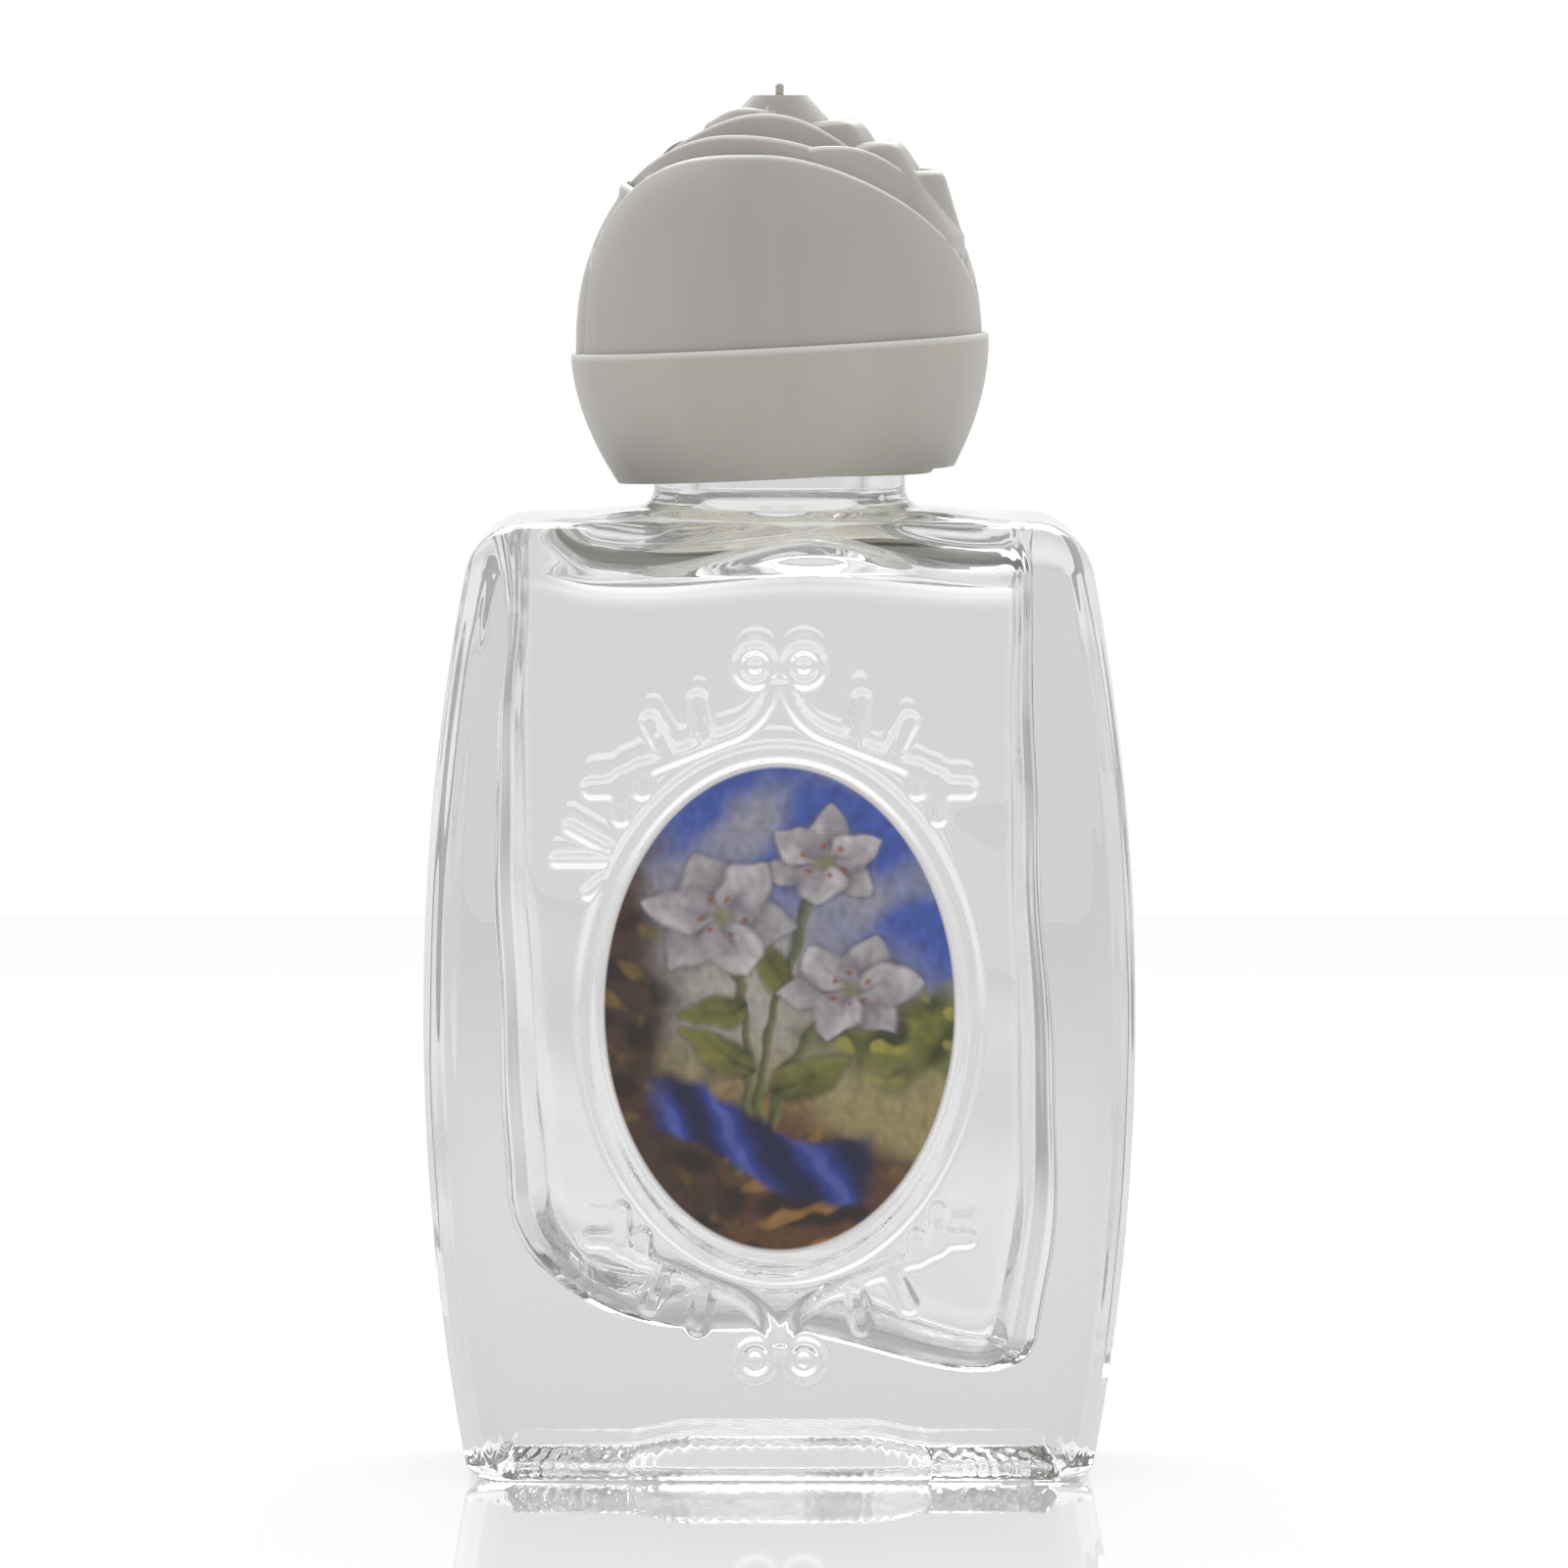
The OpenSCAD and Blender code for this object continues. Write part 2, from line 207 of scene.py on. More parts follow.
# painted glow on the sleeve's bore and the liner's underside, standing in for light through the glass and the
# thin walls
paintedGlow(sleevePlastic, srgb(210, 207, 200), strength=0.6)
paintedGlow(linerFoam, srgb(212, 209, 200), strength=0.6)


# Glass bottle: one closed skin from the base, up the outside, over the lip and down the inside
bottle = dict(
    bellyHeight=28, sideRadius=144, bodyHeight=58.2, shoulderRise=0.6, edgeRadius=3.0, shoulderRadius=3.0,
    sharpestEdge=0.7, baseEdge=0.8, heelHeight=1.0, heelSide=1.2, heelPanel=1.1, heelGrain=0.6, stipple=0.02,
    recessX=17.3, recessY=10.4, recessEdge=0.4, recessEnd=1.2, recessStep=1.1, recessRise=0.9,
    hump=2.6, humpX=9.4, humpEase=4.2, humpSlope=0.6, humpEnd=0.8, sideRag=0.03, endRag=0.1, humpRag=0.3,
    streak=0.028, innerStreak=0.028, streakTurns=4, streakDrift=0.04,
    neckRadius=7.7, rootRadius=1.2, lipRadius=0.8, boreRadius=5.0, boreEdge=0.48,
    throatRadius=1.6, throatRise=0.5,
    roof=56.3, roofWave=0.35, roofTurn=0.3, roofPhase=1, roofLift=0.6, roofLiftFrom=-11, roofLiftRun=4,
    roofCorner=1.0, roofEase=(1.0, 4.5), cavityCorner=(1.6, 3.6), panelWall=2.8, wave=0.1, waveEnds=0.1,
    floorHigh=8.8, floorLow=6.2, floorFrom=-1, floorRun=14, floorWave=0.1, floorTurn=0.9,
    leftFoot=(11.5, 9.0), rightFoot=(3.0, 2.7), panelFoot=4.0, footHalf=14,
    flatPoints=256, cornerPoints=48, sidePoints=32, step=0.15, neckStep=0.2, arcSteps=16, baseRings=90)
# insides of the two side walls, as [height, distance from the axis]
leftWall = [(55, 16.1), (50, 16.8), (37, 17.2), (28, 17.2), (18, 16.6)]
rightWall = [(55, 15.5), (46, 15.7), (35, 15.9), (20, 17.0), (13, 16.4), (8.8, 15.7)]
glassHigh = nodeBox("glass_bottle")[1]
labelLow, labelHigh = nodeBox("front_label")
halfWidth = glassHigh[0]
panelFace = -labelHigh[1]  # half depth of the body, the label lies on the front panel
lipHeight = glassHigh[2]
labelCentre = (labelLow[2] + labelHigh[2]) / 2
labelHalf = ((labelHigh[0] - labelLow[0]) / 2, (labelHigh[2] - labelLow[2]) / 2)
neckBase = bottle["bodyHeight"] + bottle["shoulderRise"]


def bodyHalf(z):
    run = z - bottle["bellyHeight"]
    return halfWidth - bottle["sideRadius"] + np.sqrt(bottle["sideRadius"] ** 2 - run ** 2)


# front, right, back and left side, anticlockwise from above, with faint draw lines round the corners
def roundedLoop(left, right, halfDepth, corner, share=1, streak=0, phase=0):
    flat = bottle["flatPoints"] // share
    bend = bottle["cornerPoints"] // share
    side = bottle["sidePoints"] // share
    t, s, b = (np.arange(n) / n for n in (flat, side, bend))
    x0, x1, y1 = left + corner, right - corner, halfDepth - corner
    x, y = [], []
    sides = [(mix(x0, x1, t), -halfDepth + 0 * t), (right + 0 * s, mix(-y1, y1, s)),
             (mix(x1, x0, t), halfDepth + 0 * t), (left + 0 * s, mix(y1, -y1, s))]
    corners = [(x1, -y1, -90), (x1, y1, 0), (x0, y1, 90), (x0, -y1, 180)]
    for start, (cx, cy, turn) in zip(sides, corners):
        angle = np.radians(turn + 90 * b)
        lines = np.sin(2 * np.pi * bottle["streakTurns"] * b + turn + phase)
        reach = corner + streak * np.sin(np.pi * b) * lines
        x += [start[0], cx + reach * np.cos(angle)]
        y += [start[1], cy + reach * np.sin(angle)]
    return np.concatenate(x), np.concatenate(y)


def circleLike(x, y, radius):  # points of a circle in the directions of a loop
    angle = np.arctan2(y, x)
    return radius * np.cos(angle), radius * np.sin(angle)


# Moulded relief on the front and back panels, measured from the centre of the oval
relief = dict(centre=28.5, height=0.40, back=0.3, flank=0.42, blend=0.16, fadeFrom=0.4, fadeRun=0.3,
              rimOut=1.05, rimHalf=0.5, stemHalf=0.42, leafHalf=0.54, strokeHalf=0.34,
              scroll=(1.48, 21.05), scrollRadius=1.06, scrollHalf=0.27, scrollFlank=0.4, bossRadius=0.40,
              bendCentre=(4.4, 20.6), bendRadius=4.0, bendFrom=186, bendTo=253, elbow=(9.6, 14.3))
leaves = [((4.6, 16.9), (4.95, 19.0)), ((6.97, 16.0), (7.85, 17.7)), ((8.38, 14.7), (8.3, 13.56)),
          ((9.6, 13.9), (9.6, 11.96)), ((9.8, 13.7), (11.4, 13.64))]  # in each quarter
strokes = [((-12.7, 11.3), (-10.5, 10.1)), ((-13.5, 9.3), (-10.7, 9.3)),
           ((-11.6, 7.3), (-10.7, 8.1))]  # at the upper left only


def barDistance(x, z, p, q):  # distance from the line between two places
    p, q = np.array(p), np.array(q)
    run = q - p
    t = np.clip(((x - p[0]) * run[0] + (z - p[1]) * run[1]) / (run @ run), 0, 1)
    return np.hypot(x - p[0] - t * run[0], z - p[1] - t * run[1])


def reliefHeight(x, z):  # oval rim, branches with leaves, and scrolls
    zz = z - relief["centre"]
    a, b = (half + relief["rimOut"] for half in labelHalf)
    f = np.hypot(x / a, zz / b) + 1e-9
    rim = np.abs((f - 1) * f / np.hypot(x / a ** 2, zz / b ** 2)) - relief["rimHalf"]
    ax, az = np.abs(x), np.abs(zz)
    cx, cz = relief["bendCentre"]
    around = np.degrees(np.arctan2(az - cz, ax - cx)) % 360
    inArc = (around >= relief["bendFrom"]) & (around <= relief["bendTo"])
    arc = np.where(inArc, np.abs(np.hypot(ax - cx, az - cz) - relief["bendRadius"]), np.inf)
    end = math.radians(relief["bendTo"])
    fork = (cx + relief["bendRadius"] * math.cos(end), cz + relief["bendRadius"] * math.sin(end))
    toScroll = np.hypot(ax - relief["scroll"][0], az - relief["scroll"][1])
    ring = np.abs(toScroll - relief["scrollRadius"]) - relief["scrollHalf"]
    scroll = np.minimum(ring, toScroll - relief["bossRadius"])
    parts = [np.minimum(arc, barDistance(ax, az, fork, relief["elbow"])) - relief["stemHalf"]]
    parts += [barDistance(ax, az, p, q) - relief["leafHalf"] for p, q in leaves]
    parts += [barDistance(x, zz, p, q) - relief["strokeHalf"] for p, q in strokes]
    joined = -relief["blend"] * np.log(sum(np.exp(-part / relief["blend"]) for part in parts))
    branch = smooth(0.5 - np.minimum(joined, rim) / relief["flank"])
    return relief["height"] * np.maximum(branch, smooth(0.5 - scroll / relief["scrollFlank"]))


def ripple(x, y, z):  # slow unevenness of blown glass, -1 to 1
    return (np.sin(0.31 * x + 0.17 * z + 0.6) + np.sin(0.23 * z - 0.19 * x + 2.1 + 0.2 * y)
            + np.sin(0.52 * z + 0.11 * x + 0.3 * y)) / 3


def grainAt(x, y):  # stipple under the base, -1 to 1
    across = np.sin(9.1 * x + 2.2 * np.sin(3.1 * y))
    along = np.sin(10.3 * y + 2 * np.sin(3.7 * x))
    return (across + along + np.sin(7.9 * x - 8.3 * y)) / 3


def baseHeight(x, y):  # recess under the base: a step and a slope at its ends, higher and steep in the middle
    ax, grain = np.abs(x), grainAt(x, y)
    inward = bottle["recessY"] - np.abs(y) + bottle["sideRag"] * grain
    step, rise, edge = bottle["recessStep"], bottle["recessRise"], bottle["recessEdge"]
    ends = step * smooth(inward / edge) + np.clip(inward - edge, 0, rise)
    toMiddle = smooth((bottle["humpX"] - ax) / bottle["humpEase"])
    middle = mix(step + rise, bottle["hump"], toMiddle) * smooth(inward / bottle["humpSlope"])
    high = mix(ends, middle, smooth((bottle["humpX"] - ax + bottle["humpRag"] * grain) / bottle["humpEnd"]))
    within = smooth((bottle["recessX"] - ax + bottle["endRag"] * grain) / bottle["recessEnd"])
    return high * within + bottle["stipple"] * (1 + grain)


def outerRings():
    depth, edge = panelFace, bottle["edgeRadius"]
    heel, heelX, heelY = bottle["heelHeight"], bottle["heelSide"], bottle["heelPanel"]
    top, bodyTop = bottle["shoulderRadius"], bottle["bodyHeight"]
    arc = np.linspace(0, np.pi / 2, bottle["arcSteps"])
    levels = []  # height, inset from the sides, inset from the panels, 1 on the walls
    for a in arc:
        levels.append((heel * (1 - math.cos(a)), heelX * (1 - math.sin(a)), heelY * (1 - math.sin(a)), 0))
    for z in np.arange(heel, bodyTop - top, bottle["step"])[1:]:
        levels.append((z, 0, 0, 1))
    for a in arc:
        inset = top * (1 - math.cos(a))
        levels.append((bodyTop - top + top * math.sin(a), inset, inset, 0))
    rings = []
    for share in np.linspace(0.02, 0.98, bottle["baseRings"]):  # the underside, from the middle out
        half = bodyHalf(0) - heelX
        x, y = roundedLoop(-half, half, depth - heelY, max(edge - heelY, bottle["baseEdge"]))
        x, y = x * share, y * share
        rings.append(np.stack([x, y, baseHeight(x, y)], -1))
    for z, insetX, insetY, wall in levels:
        half, corner = bodyHalf(z) - insetX, max(edge - insetY, bottle["sharpestEdge"])
        streak, drift = wall * bottle["streak"], bottle["streakDrift"] * z
        x, y = roundedLoop(-half, half, depth - insetY, corner, 1, streak, drift)
        if wall:
            onPanel = smooth((np.abs(y) - depth + relief["fadeFrom"]) / relief["fadeRun"])
            high = reliefHeight(x, z) * onPanel * np.where(y > 0, relief["back"], 1)
            y = y + np.sign(y) * high
        rough = bottle["heelGrain"] * bottle["stipple"] * (grainAt(x, y) + 1) * smooth(1 - z)
        rings.append(np.stack([x, y, z + rough], -1))
    return rings


# Screw thread on the neck, and its mate inside the sleeve
thread = dict(height=0.82, half=0.78, start=62.0, lead=3.175, turns=1.6, fadeTurns=0.08)


def ridge(distance, half):  # rounded bar, 1 on its crest
    return np.clip(1 - (distance / half) ** 2, 0, 1)


def threadRise(angle, z, start):  # share of the thread's height at a place on the neck
    high = np.zeros_like(angle)
    for lap in range(math.ceil(thread["turns"]) + 1):
        t = angle / (2 * np.pi) % 1 + lap
        ends = smooth(t / thread["fadeTurns"]) * smooth((thread["turns"] - t) / thread["fadeTurns"])
        high = np.maximum(high, ends * ridge(np.abs(z - start - thread["lead"] * t), thread["half"]))
    return high


def innerRings():  # from the shoulder over the lip and down to the floor of the cavity
    rings = []
    top = bottle["shoulderRadius"]
    half = bodyHalf(bottle["bodyHeight"]) - top
    x, y = roundedLoop(-half, half, panelFace - top, bottle["sharpestEdge"], 2)
    root, neck = bottle["rootRadius"], bottle["neckRadius"]
    cx, cy = circleLike(x, y, neck + root)
    angle = np.arctan2(y, x)
    for t in np.linspace(0.12, 1, 14):
        z = mix(bottle["bodyHeight"], neckBase, smooth(t))
        rings.append(np.stack([mix(x, cx, t), mix(y, cy, t), z + 0 * x], -1))
    ux, uy = np.cos(angle), np.sin(angle)

    def ringAt(r, z):
        rings.append(np.stack([r * ux, r * uy, z + 0 * ux], -1))

    for a in np.linspace(0, np.pi / 2, 8)[1:]:
        ringAt(neck + root * (1 - math.sin(a)), neckBase + root * (1 - math.cos(a)))
    lip = bottle["lipRadius"]
    step = bottle["neckStep"]
    for z in np.arange(neckBase + root + step, lipHeight - lip, step):
        ringAt(neck + thread["height"] * threadRise(angle, z, thread["start"]), z)
    for a in np.linspace(0, np.pi / 2, 8):
        ringAt(neck - lip + lip * math.cos(a), lipHeight - lip + lip * math.sin(a))
    bore, edge = bottle["boreRadius"], bottle["boreEdge"]
    for a in np.linspace(0, np.pi / 2, 6):
        ringAt(bore + edge * (1 - math.sin(a)), lipHeight - edge * (1 - math.cos(a)))
    throat, throatFoot = bottle["throatRadius"], bottle["roof"] + bottle["throatRise"]
    for z in np.linspace(lipHeight - 1, throatFoot + throat + step, 20):
        ringAt(bore, z)
    for a in np.linspace(0, np.pi / 2, 8)[1:]:
        ringAt(bore + throat * (1 - math.cos(a)), throatFoot + throat * (1 - math.sin(a)))
    return rings, rings[-1]


def wallCurve(places):  # smooth curve by a few [height, distance] places
    heights, distances = np.array(places).T
    return np.polynomial.Polynomial.fit(heights, distances, 3)


def roofAt(x):  # the wavy roof inside rises at the left
    lift = bottle["roofLift"] * smooth((bottle["roofLiftFrom"] - x) / bottle["roofLiftRun"])
    return bottle["roof"] + bottle["roofWave"] * np.sin(bottle["roofTurn"] * x + bottle["roofPhase"]) + lift


def floorAt(x):  # the floor inside falls from the left to the right
    return mix(bottle["floorHigh"], bottle["floorLow"], smooth((x - bottle["floorFrom"]) / bottle["floorRun"]))


def footAt(x):  # height of the rounded foot of the walls
    half = bottle["footHalf"]
    return mix(bottle["leftFoot"][1], bottle["rightFoot"][1], smooth((x + half) / (2 * half)))


def cavityRings(throat):
    rings = []
    corner, (ease, top) = bottle["roofCorner"], bottle["roofEase"]
    depth = panelFace - bottle["panelWall"]
    leftAt, rightAt = wallCurve(leftWall), wallCurve(rightWall)
    wallTop = bottle["roof"] - top
    leftLow = bottle["floorHigh"] + bottle["leftFoot"][1]
    rightLow = bottle["floorLow"] + bottle["rightFoot"][1]

    def loopAt(t, insetLeft, insetRight, insetDepth):
        left = insetLeft - leftAt(mix(wallTop, leftLow, t))
        right = rightAt(mix(wallTop, rightLow, t)) - insetRight
        bend = mix(*bottle["cavityCorner"], t)
        return roundedLoop(left, right, depth - insetDepth, bend, 2, bottle["innerStreak"], 2 * t)

    x, y = loopAt(0, corner, corner, corner + ease)
    for t in np.linspace(0.08, 1, 14):
        px, py = mix(throat[:, 0], x, t), mix(throat[:, 1], y, t)
        rings.append(np.stack([px, py, mix(throat[:, 2], roofAt(px), smooth(t))], -1))
    for down in top * np.linspace(0, 1, 36)[1:] ** 2:  # tight corner under the roof, then a long slow curve
        side = corner * (1 - math.sqrt(1 - max(1 - down / corner, 0) ** 2))
        x, y = loopAt(0, side, side, side + ease * (1 - down / top) ** 3)
        rings.append(np.stack([x, y, roofAt(x) - down], -1))
    for t in np.linspace(0, 1, 110)[1:]:
        x, y = loopAt(t, 0, 0, 0)
        z = mix(roofAt(x) - top, floorAt(x) + footAt(x), t)
        fade = smooth(t / bottle["waveEnds"]) * smooth((1 - t) / bottle["waveEnds"])
        out = bottle["wave"] * ripple(x, y, z) * fade
        y = y + np.sign(y) * out * smooth((np.abs(y) - depth + 1) / 0.8)
        x = x + np.sign(x) * 2 * out * smooth((np.abs(x) - 13) / 2)
        rings.append(np.stack([x, y, z], -1))
    for a in np.linspace(0, np.pi / 2, 24)[1:]:
        share = 1 - math.cos(a)
        feet = (bottle["leftFoot"][0], bottle["rightFoot"][0], bottle["panelFoot"])
        x, y = loopAt(1, *[share * foot for foot in feet])
        rings.append(np.stack([x, y, floorAt(x) + footAt(x) * (1 - math.sin(a))], -1))
    middle = (x.min() + x.max()) / 2
    for t in np.linspace(0, 0.97, 24)[1:]:
        px, py = mix(x, middle, t), mix(y, 0, t)
        uneven = bottle["floorWave"] * np.sin(bottle["floorTurn"] * px) * smooth(t * 2)
        rings.append(np.stack([px, py, floorAt(px) + uneven], -1))
    return rings


def joinHalved(fineStart, coarseStart, coarseCount):  # between a ring and one of half its points
    here = np.arange(coarseCount)
    after = (here + 1) % coarseCount
    first, middle, last = fineStart + 2 * here, fineStart + 2 * here + 1, fineStart + 2 * after
    low, high = coarseStart + here, coarseStart + after
    return (np.stack([first, middle, low], -1).tolist() + np.stack([middle, last, high], -1).tolist()
            + np.stack([low, middle, high], -1).tolist())


def makeBottle():
    outer = outerRings()
    inner, throat = innerRings()
    inner += cavityRings(throat)
    fine, coarse = len(outer[0]), len(inner[0])
    points = np.concatenate(outer + inner)
    start = len(outer) * fine
    base, floor = len(points), len(points) + 1
    ends = [outer[0].mean(0), inner[-1].mean(0)]
    faces = ringQuads(len(outer), fine) + joinHalved(start - fine, start, coarse)
    faces += ringQuads(len(inner), coarse, start)
    faces += fan(base, 0, fine, False) + fan(floor, start + (len(inner) - 1) * coarse, coarse, True)
    return meshPiece("bottleGlass", np.concatenate([points, ends]), faces, clearGlass())


dress(makeBottle(), "bottle", "glass_bottle")


# Paper label with a printed spray of lilies
# the back glow setting is the strength of the painted glow on the label's back
label = dict(rings=150, points=520, edge=0.03, whiteEdge=0.14, whiteBlur=0.08, sharpAngle=40, roughness=0.42,
             brush=0.9, dot=0.17, dotLevels=(0.66, 1.34), paintedBackGlow=0.3)
# back is the colour of the painted glow on the label's back
paints = dict(
    paper=(226, 222, 220), back=(210, 209, 207), field=(146, 132, 92), mist=(152, 148, 148),
    sky=(62, 84, 158), cloud=(146, 144, 154), haze=(168, 161, 142),
    bush=(104, 106, 46), bushDark=(56, 58, 26), bushLight=(150, 142, 66),
    rock=(90, 60, 36), rockDark=(38, 26, 20), rockLight=(140, 102, 54),
    cliff=(66, 46, 34), cliffDark=(36, 26, 20), cliffLight=(106, 84, 40),
    stemDark=(50, 58, 36), stemLight=(110, 114, 70), leafDark=(46, 54, 22), leafLight=(126, 124, 58),
    petalDark=(108, 102, 112), petalLight=(196, 190, 190), heart=(126, 126, 84), anther=(134, 76, 32),
    clothDark=(20, 22, 58), clothLight=(50, 66, 150), clothSheen=(112, 120, 170))
# stems as foot, top and bow; leaves as place, turn, length and width; lilies as place, size, turn and flatness
printStems = [((-2.4, -10), (-3.4, 5.2), 0.9), ((-1.6, -10), (2.4, 8.2), -0.8),
              ((-0.8, -10), (4.2, 1.4), -1.4)]
printLeaves = [(-1.4, -4.0, 150, 5.2, 1.2), (-0.6, -5.4, 28, 5.6, 1.3), (0.6, 0.5, 118, 4.6, 1.0),
               (-1.8, 0.2, 190, 4.4, 1.0)]
printLilies = [(2.7, 9.0, 4.0, 20, 0.8), (-3.6, 5.6, 4.9, 50, 0.85), (4.3, 1.2, 4.6, 8, 0.75)]


def valueNoise(x, z, scale, seed):  # soft blotches, -1 to 1
    rng = np.random.default_rng(seed)
    waves = rng.uniform(0, 2 * np.pi, (6, 2))
    total = np.zeros_like(x)
    for turn, phase in waves:
        total = total + np.sin(scale * (x * math.cos(turn) + z * math.sin(turn)) + phase)
    return total / 6


def paintedLabel(x, z):  # colour of the print at a place on the label, millimetres from its centre
    ink = {name: np.array(srgb(*tone)[:3]) for name, tone in paints.items()}

    def lay(paint, amount):
        nonlocal picture
        picture = picture + (paint - picture) * np.clip(amount, 0, 1)[:, None]

    def dabs(scale, seed):
        return valueNoise(x, z, scale, seed)

    def ground(name, area, dark, light):  # one tone, then dabs of its dark and its light
        lay(ink[name], area)
        for tone, (lift, gain, scale, seed) in (("Dark", dark), ("Light", light)):
            lay(ink[name + tone], area * smooth(lift + gain * dabs(scale, seed)))

    def blade(cx, cz, turn, long, wide, dark, light, flat=1.0):  # one petal or leaf
        c, s = math.cos(math.radians(turn)), math.sin(math.radians(turn))
        dx, dz = x - cx, (z - cz) / flat
        along, across = (dx * c + dz * s) / long, (dz * c - dx * s) / wide
        t = np.clip(along, 0, 1)
        inside = np.sin(np.pi * t ** 0.8) ** 0.75 - np.abs(across)
        within = (along > 0) & (along < 1)
        midrib = np.exp(-(across / 0.16) ** 2) * (1 - t)
        shade = 0.3 + 0.55 * t + 0.3 * across - 0.35 * midrib + 0.2 * dabs(2.6, 61)
        lay(0.6 * dark, 0.45 * smooth((inside + 0.25) / 0.35) * within)
        lay(mix(dark, light, np.clip(shade, 0, 1)[:, None]), 0.95 * smooth(inside / 0.3) * within)

    soft = 0.9 * dabs(0.55, 3) + 0.5 * dabs(1.3, 5)
    brushX = 0.5 * dabs(1.1, 31) + 0.3 * dabs(3.1, 33)
    brushZ = 0.5 * dabs(1.1, 32) + 0.3 * dabs(3.1, 34)
    x, z = x + label["brush"] * brushX, z + label["brush"] * brushZ
    picture = mix(ink["field"], ink["mist"], smooth((z + 6 + soft) / 8)[:, None])
    sky = smooth((z + 0.55 * x - 1 + 1.8 * soft) / 9)
    lay(ink["sky"], sky)
    lay(ink["cloud"], 0.9 * smooth(0.1 + 1.7 * dabs(0.8, 8)) * sky)
    lay(ink["haze"], 0.8 * smooth(1 - np.hypot((x + 2) / 6, (z - 2.5) / 6.5)))
    bush = smooth((1.2 - np.hypot((x - 7.5) / 5.2, (z + 1.5) / 3.4) + 0.5 * soft) / 0.7)
    ground("bush", bush, (0.35, 1.5, 2.4, 12), (-0.4, 2.4, 3.3, 14))
    rock = smooth((-z - 4.4 - 0.4 * x + 2.2 * soft) / 4)
    ground("rock", rock, (0.3, 1.9, 1.7, 17), (-0.5, 2.6, 2.9, 19))
    cliff = smooth((-x - 4.4 + 1.8 * soft - 0.2 * z) / 3.4)
    ground("cliff", cliff, (0.1, 1.8, 2.0, 21), (-0.5, 2.4, 2.7, 23))
    for foot, top, bow in printStems:
        t = np.clip((z - foot[1]) / (top[1] - foot[1]), 0, 1)
        line = mix(foot[0], top[0], t) + bow * np.sin(np.pi * t)
        stem = smooth((0.5 - np.hypot(x - line, z - np.clip(z, foot[1], top[1]))) / 0.35)
        lit = smooth(0.5 + 1.2 * (x - line))[:, None]
        lay(mix(ink["stemDark"], ink["stemLight"], lit), 0.9 * stem)
    for leaf in printLeaves:
        blade(*leaf, ink["leafDark"], ink["leafLight"])
    for cx, cz, size, spin, flat in printLilies:
        for step in (60, 180, 300, 0, 120, 240):  # the three petals behind, then the three in front
            high = 0.82 if step % 120 else 1.0
            dark, light = high * ink["petalDark"], high * ink["petalLight"]
            blade(cx, cz, spin + step, size, 0.4 * size, dark, light, flat)
        far, angle = np.hypot(x - cx, (z - cz) / flat), np.arctan2(z - cz, x - cx)
        lay(ink["heart"], 0.8 * smooth((1.0 - far) / 0.8))
        dots = np.hypot(far - 1.3, 0.6 * np.sin(3 * angle + spin))
        lay(ink["anther"], 0.8 * smooth((0.4 - dots) / 0.3))
    fold = 0.5 + 0.5 * np.sin(1.5 * x + 0.9 * z + 2.2 * dabs(0.5, 51))
    across = np.abs(z + 8.6 + 0.28 * x + 0.9 * np.sin(0.45 * x + 1)) / 2.3
    cloth = smooth((1 - across) / 0.35) * smooth((x + 8.5) / 2) * smooth((6.2 - x + 1.2 * soft) / 1.6)
    lay(mix(ink["clothDark"], ink["clothLight"], fold[:, None] ** 1.5), cloth)
    lay(ink["clothSheen"], 0.3 * cloth * smooth(4 * fold - 3.2))
    return picture * (1 + 0.22 * dabs(4.3, 41) + 0.16 * dabs(8.5, 43))[:, None]


def labelPaper():
    material, tree, shader = newMaterial("labelPaper")
    ink = addNode(tree, "ShaderNodeAttribute", attribute_name="ink").outputs["Color"]
    place = addNode(tree, "ShaderNodeTexCoord").outputs["Object"]
    screen = addNode(tree, "ShaderNodeMapping", {"Vector": place, "Rotation": (0, math.radians(45), 0)})
    axes = addNode(tree, "ShaderNodeSeparateXYZ", {"Vector": screen.outputs[0]})
    waves, pitch = [], label["dot"] * mm
    for axis in ("X", "Z"):  # print screen of fine dots
        count = mathNode(tree, "MULTIPLY", axes.outputs[axis], 2 * math.pi / pitch)
        waves.append(mathNode(tree, "SINE", count))
    dot = mathNode(tree, "MULTIPLY", *waves)
    low, high = label["dotLevels"]
    levels = {"Value": dot, "From Min": -1.0, "To Min": low, "To Max": high}
    level = addNode(tree, "ShaderNodeMapRange", levels)
    printed = addNode(tree, "ShaderNodeVectorMath", {0: ink, "Scale": level.outputs[0]}, operation="SCALE")
    tree.links.new(printed.outputs[0], shader.inputs["Base Color"])
    shader.inputs["Roughness"].default_value = label["roughness"]
    # painted glow on the back of the label
    paintedGlow(material, srgb(*paints["back"]), label["paintedBackGlow"])
    return material


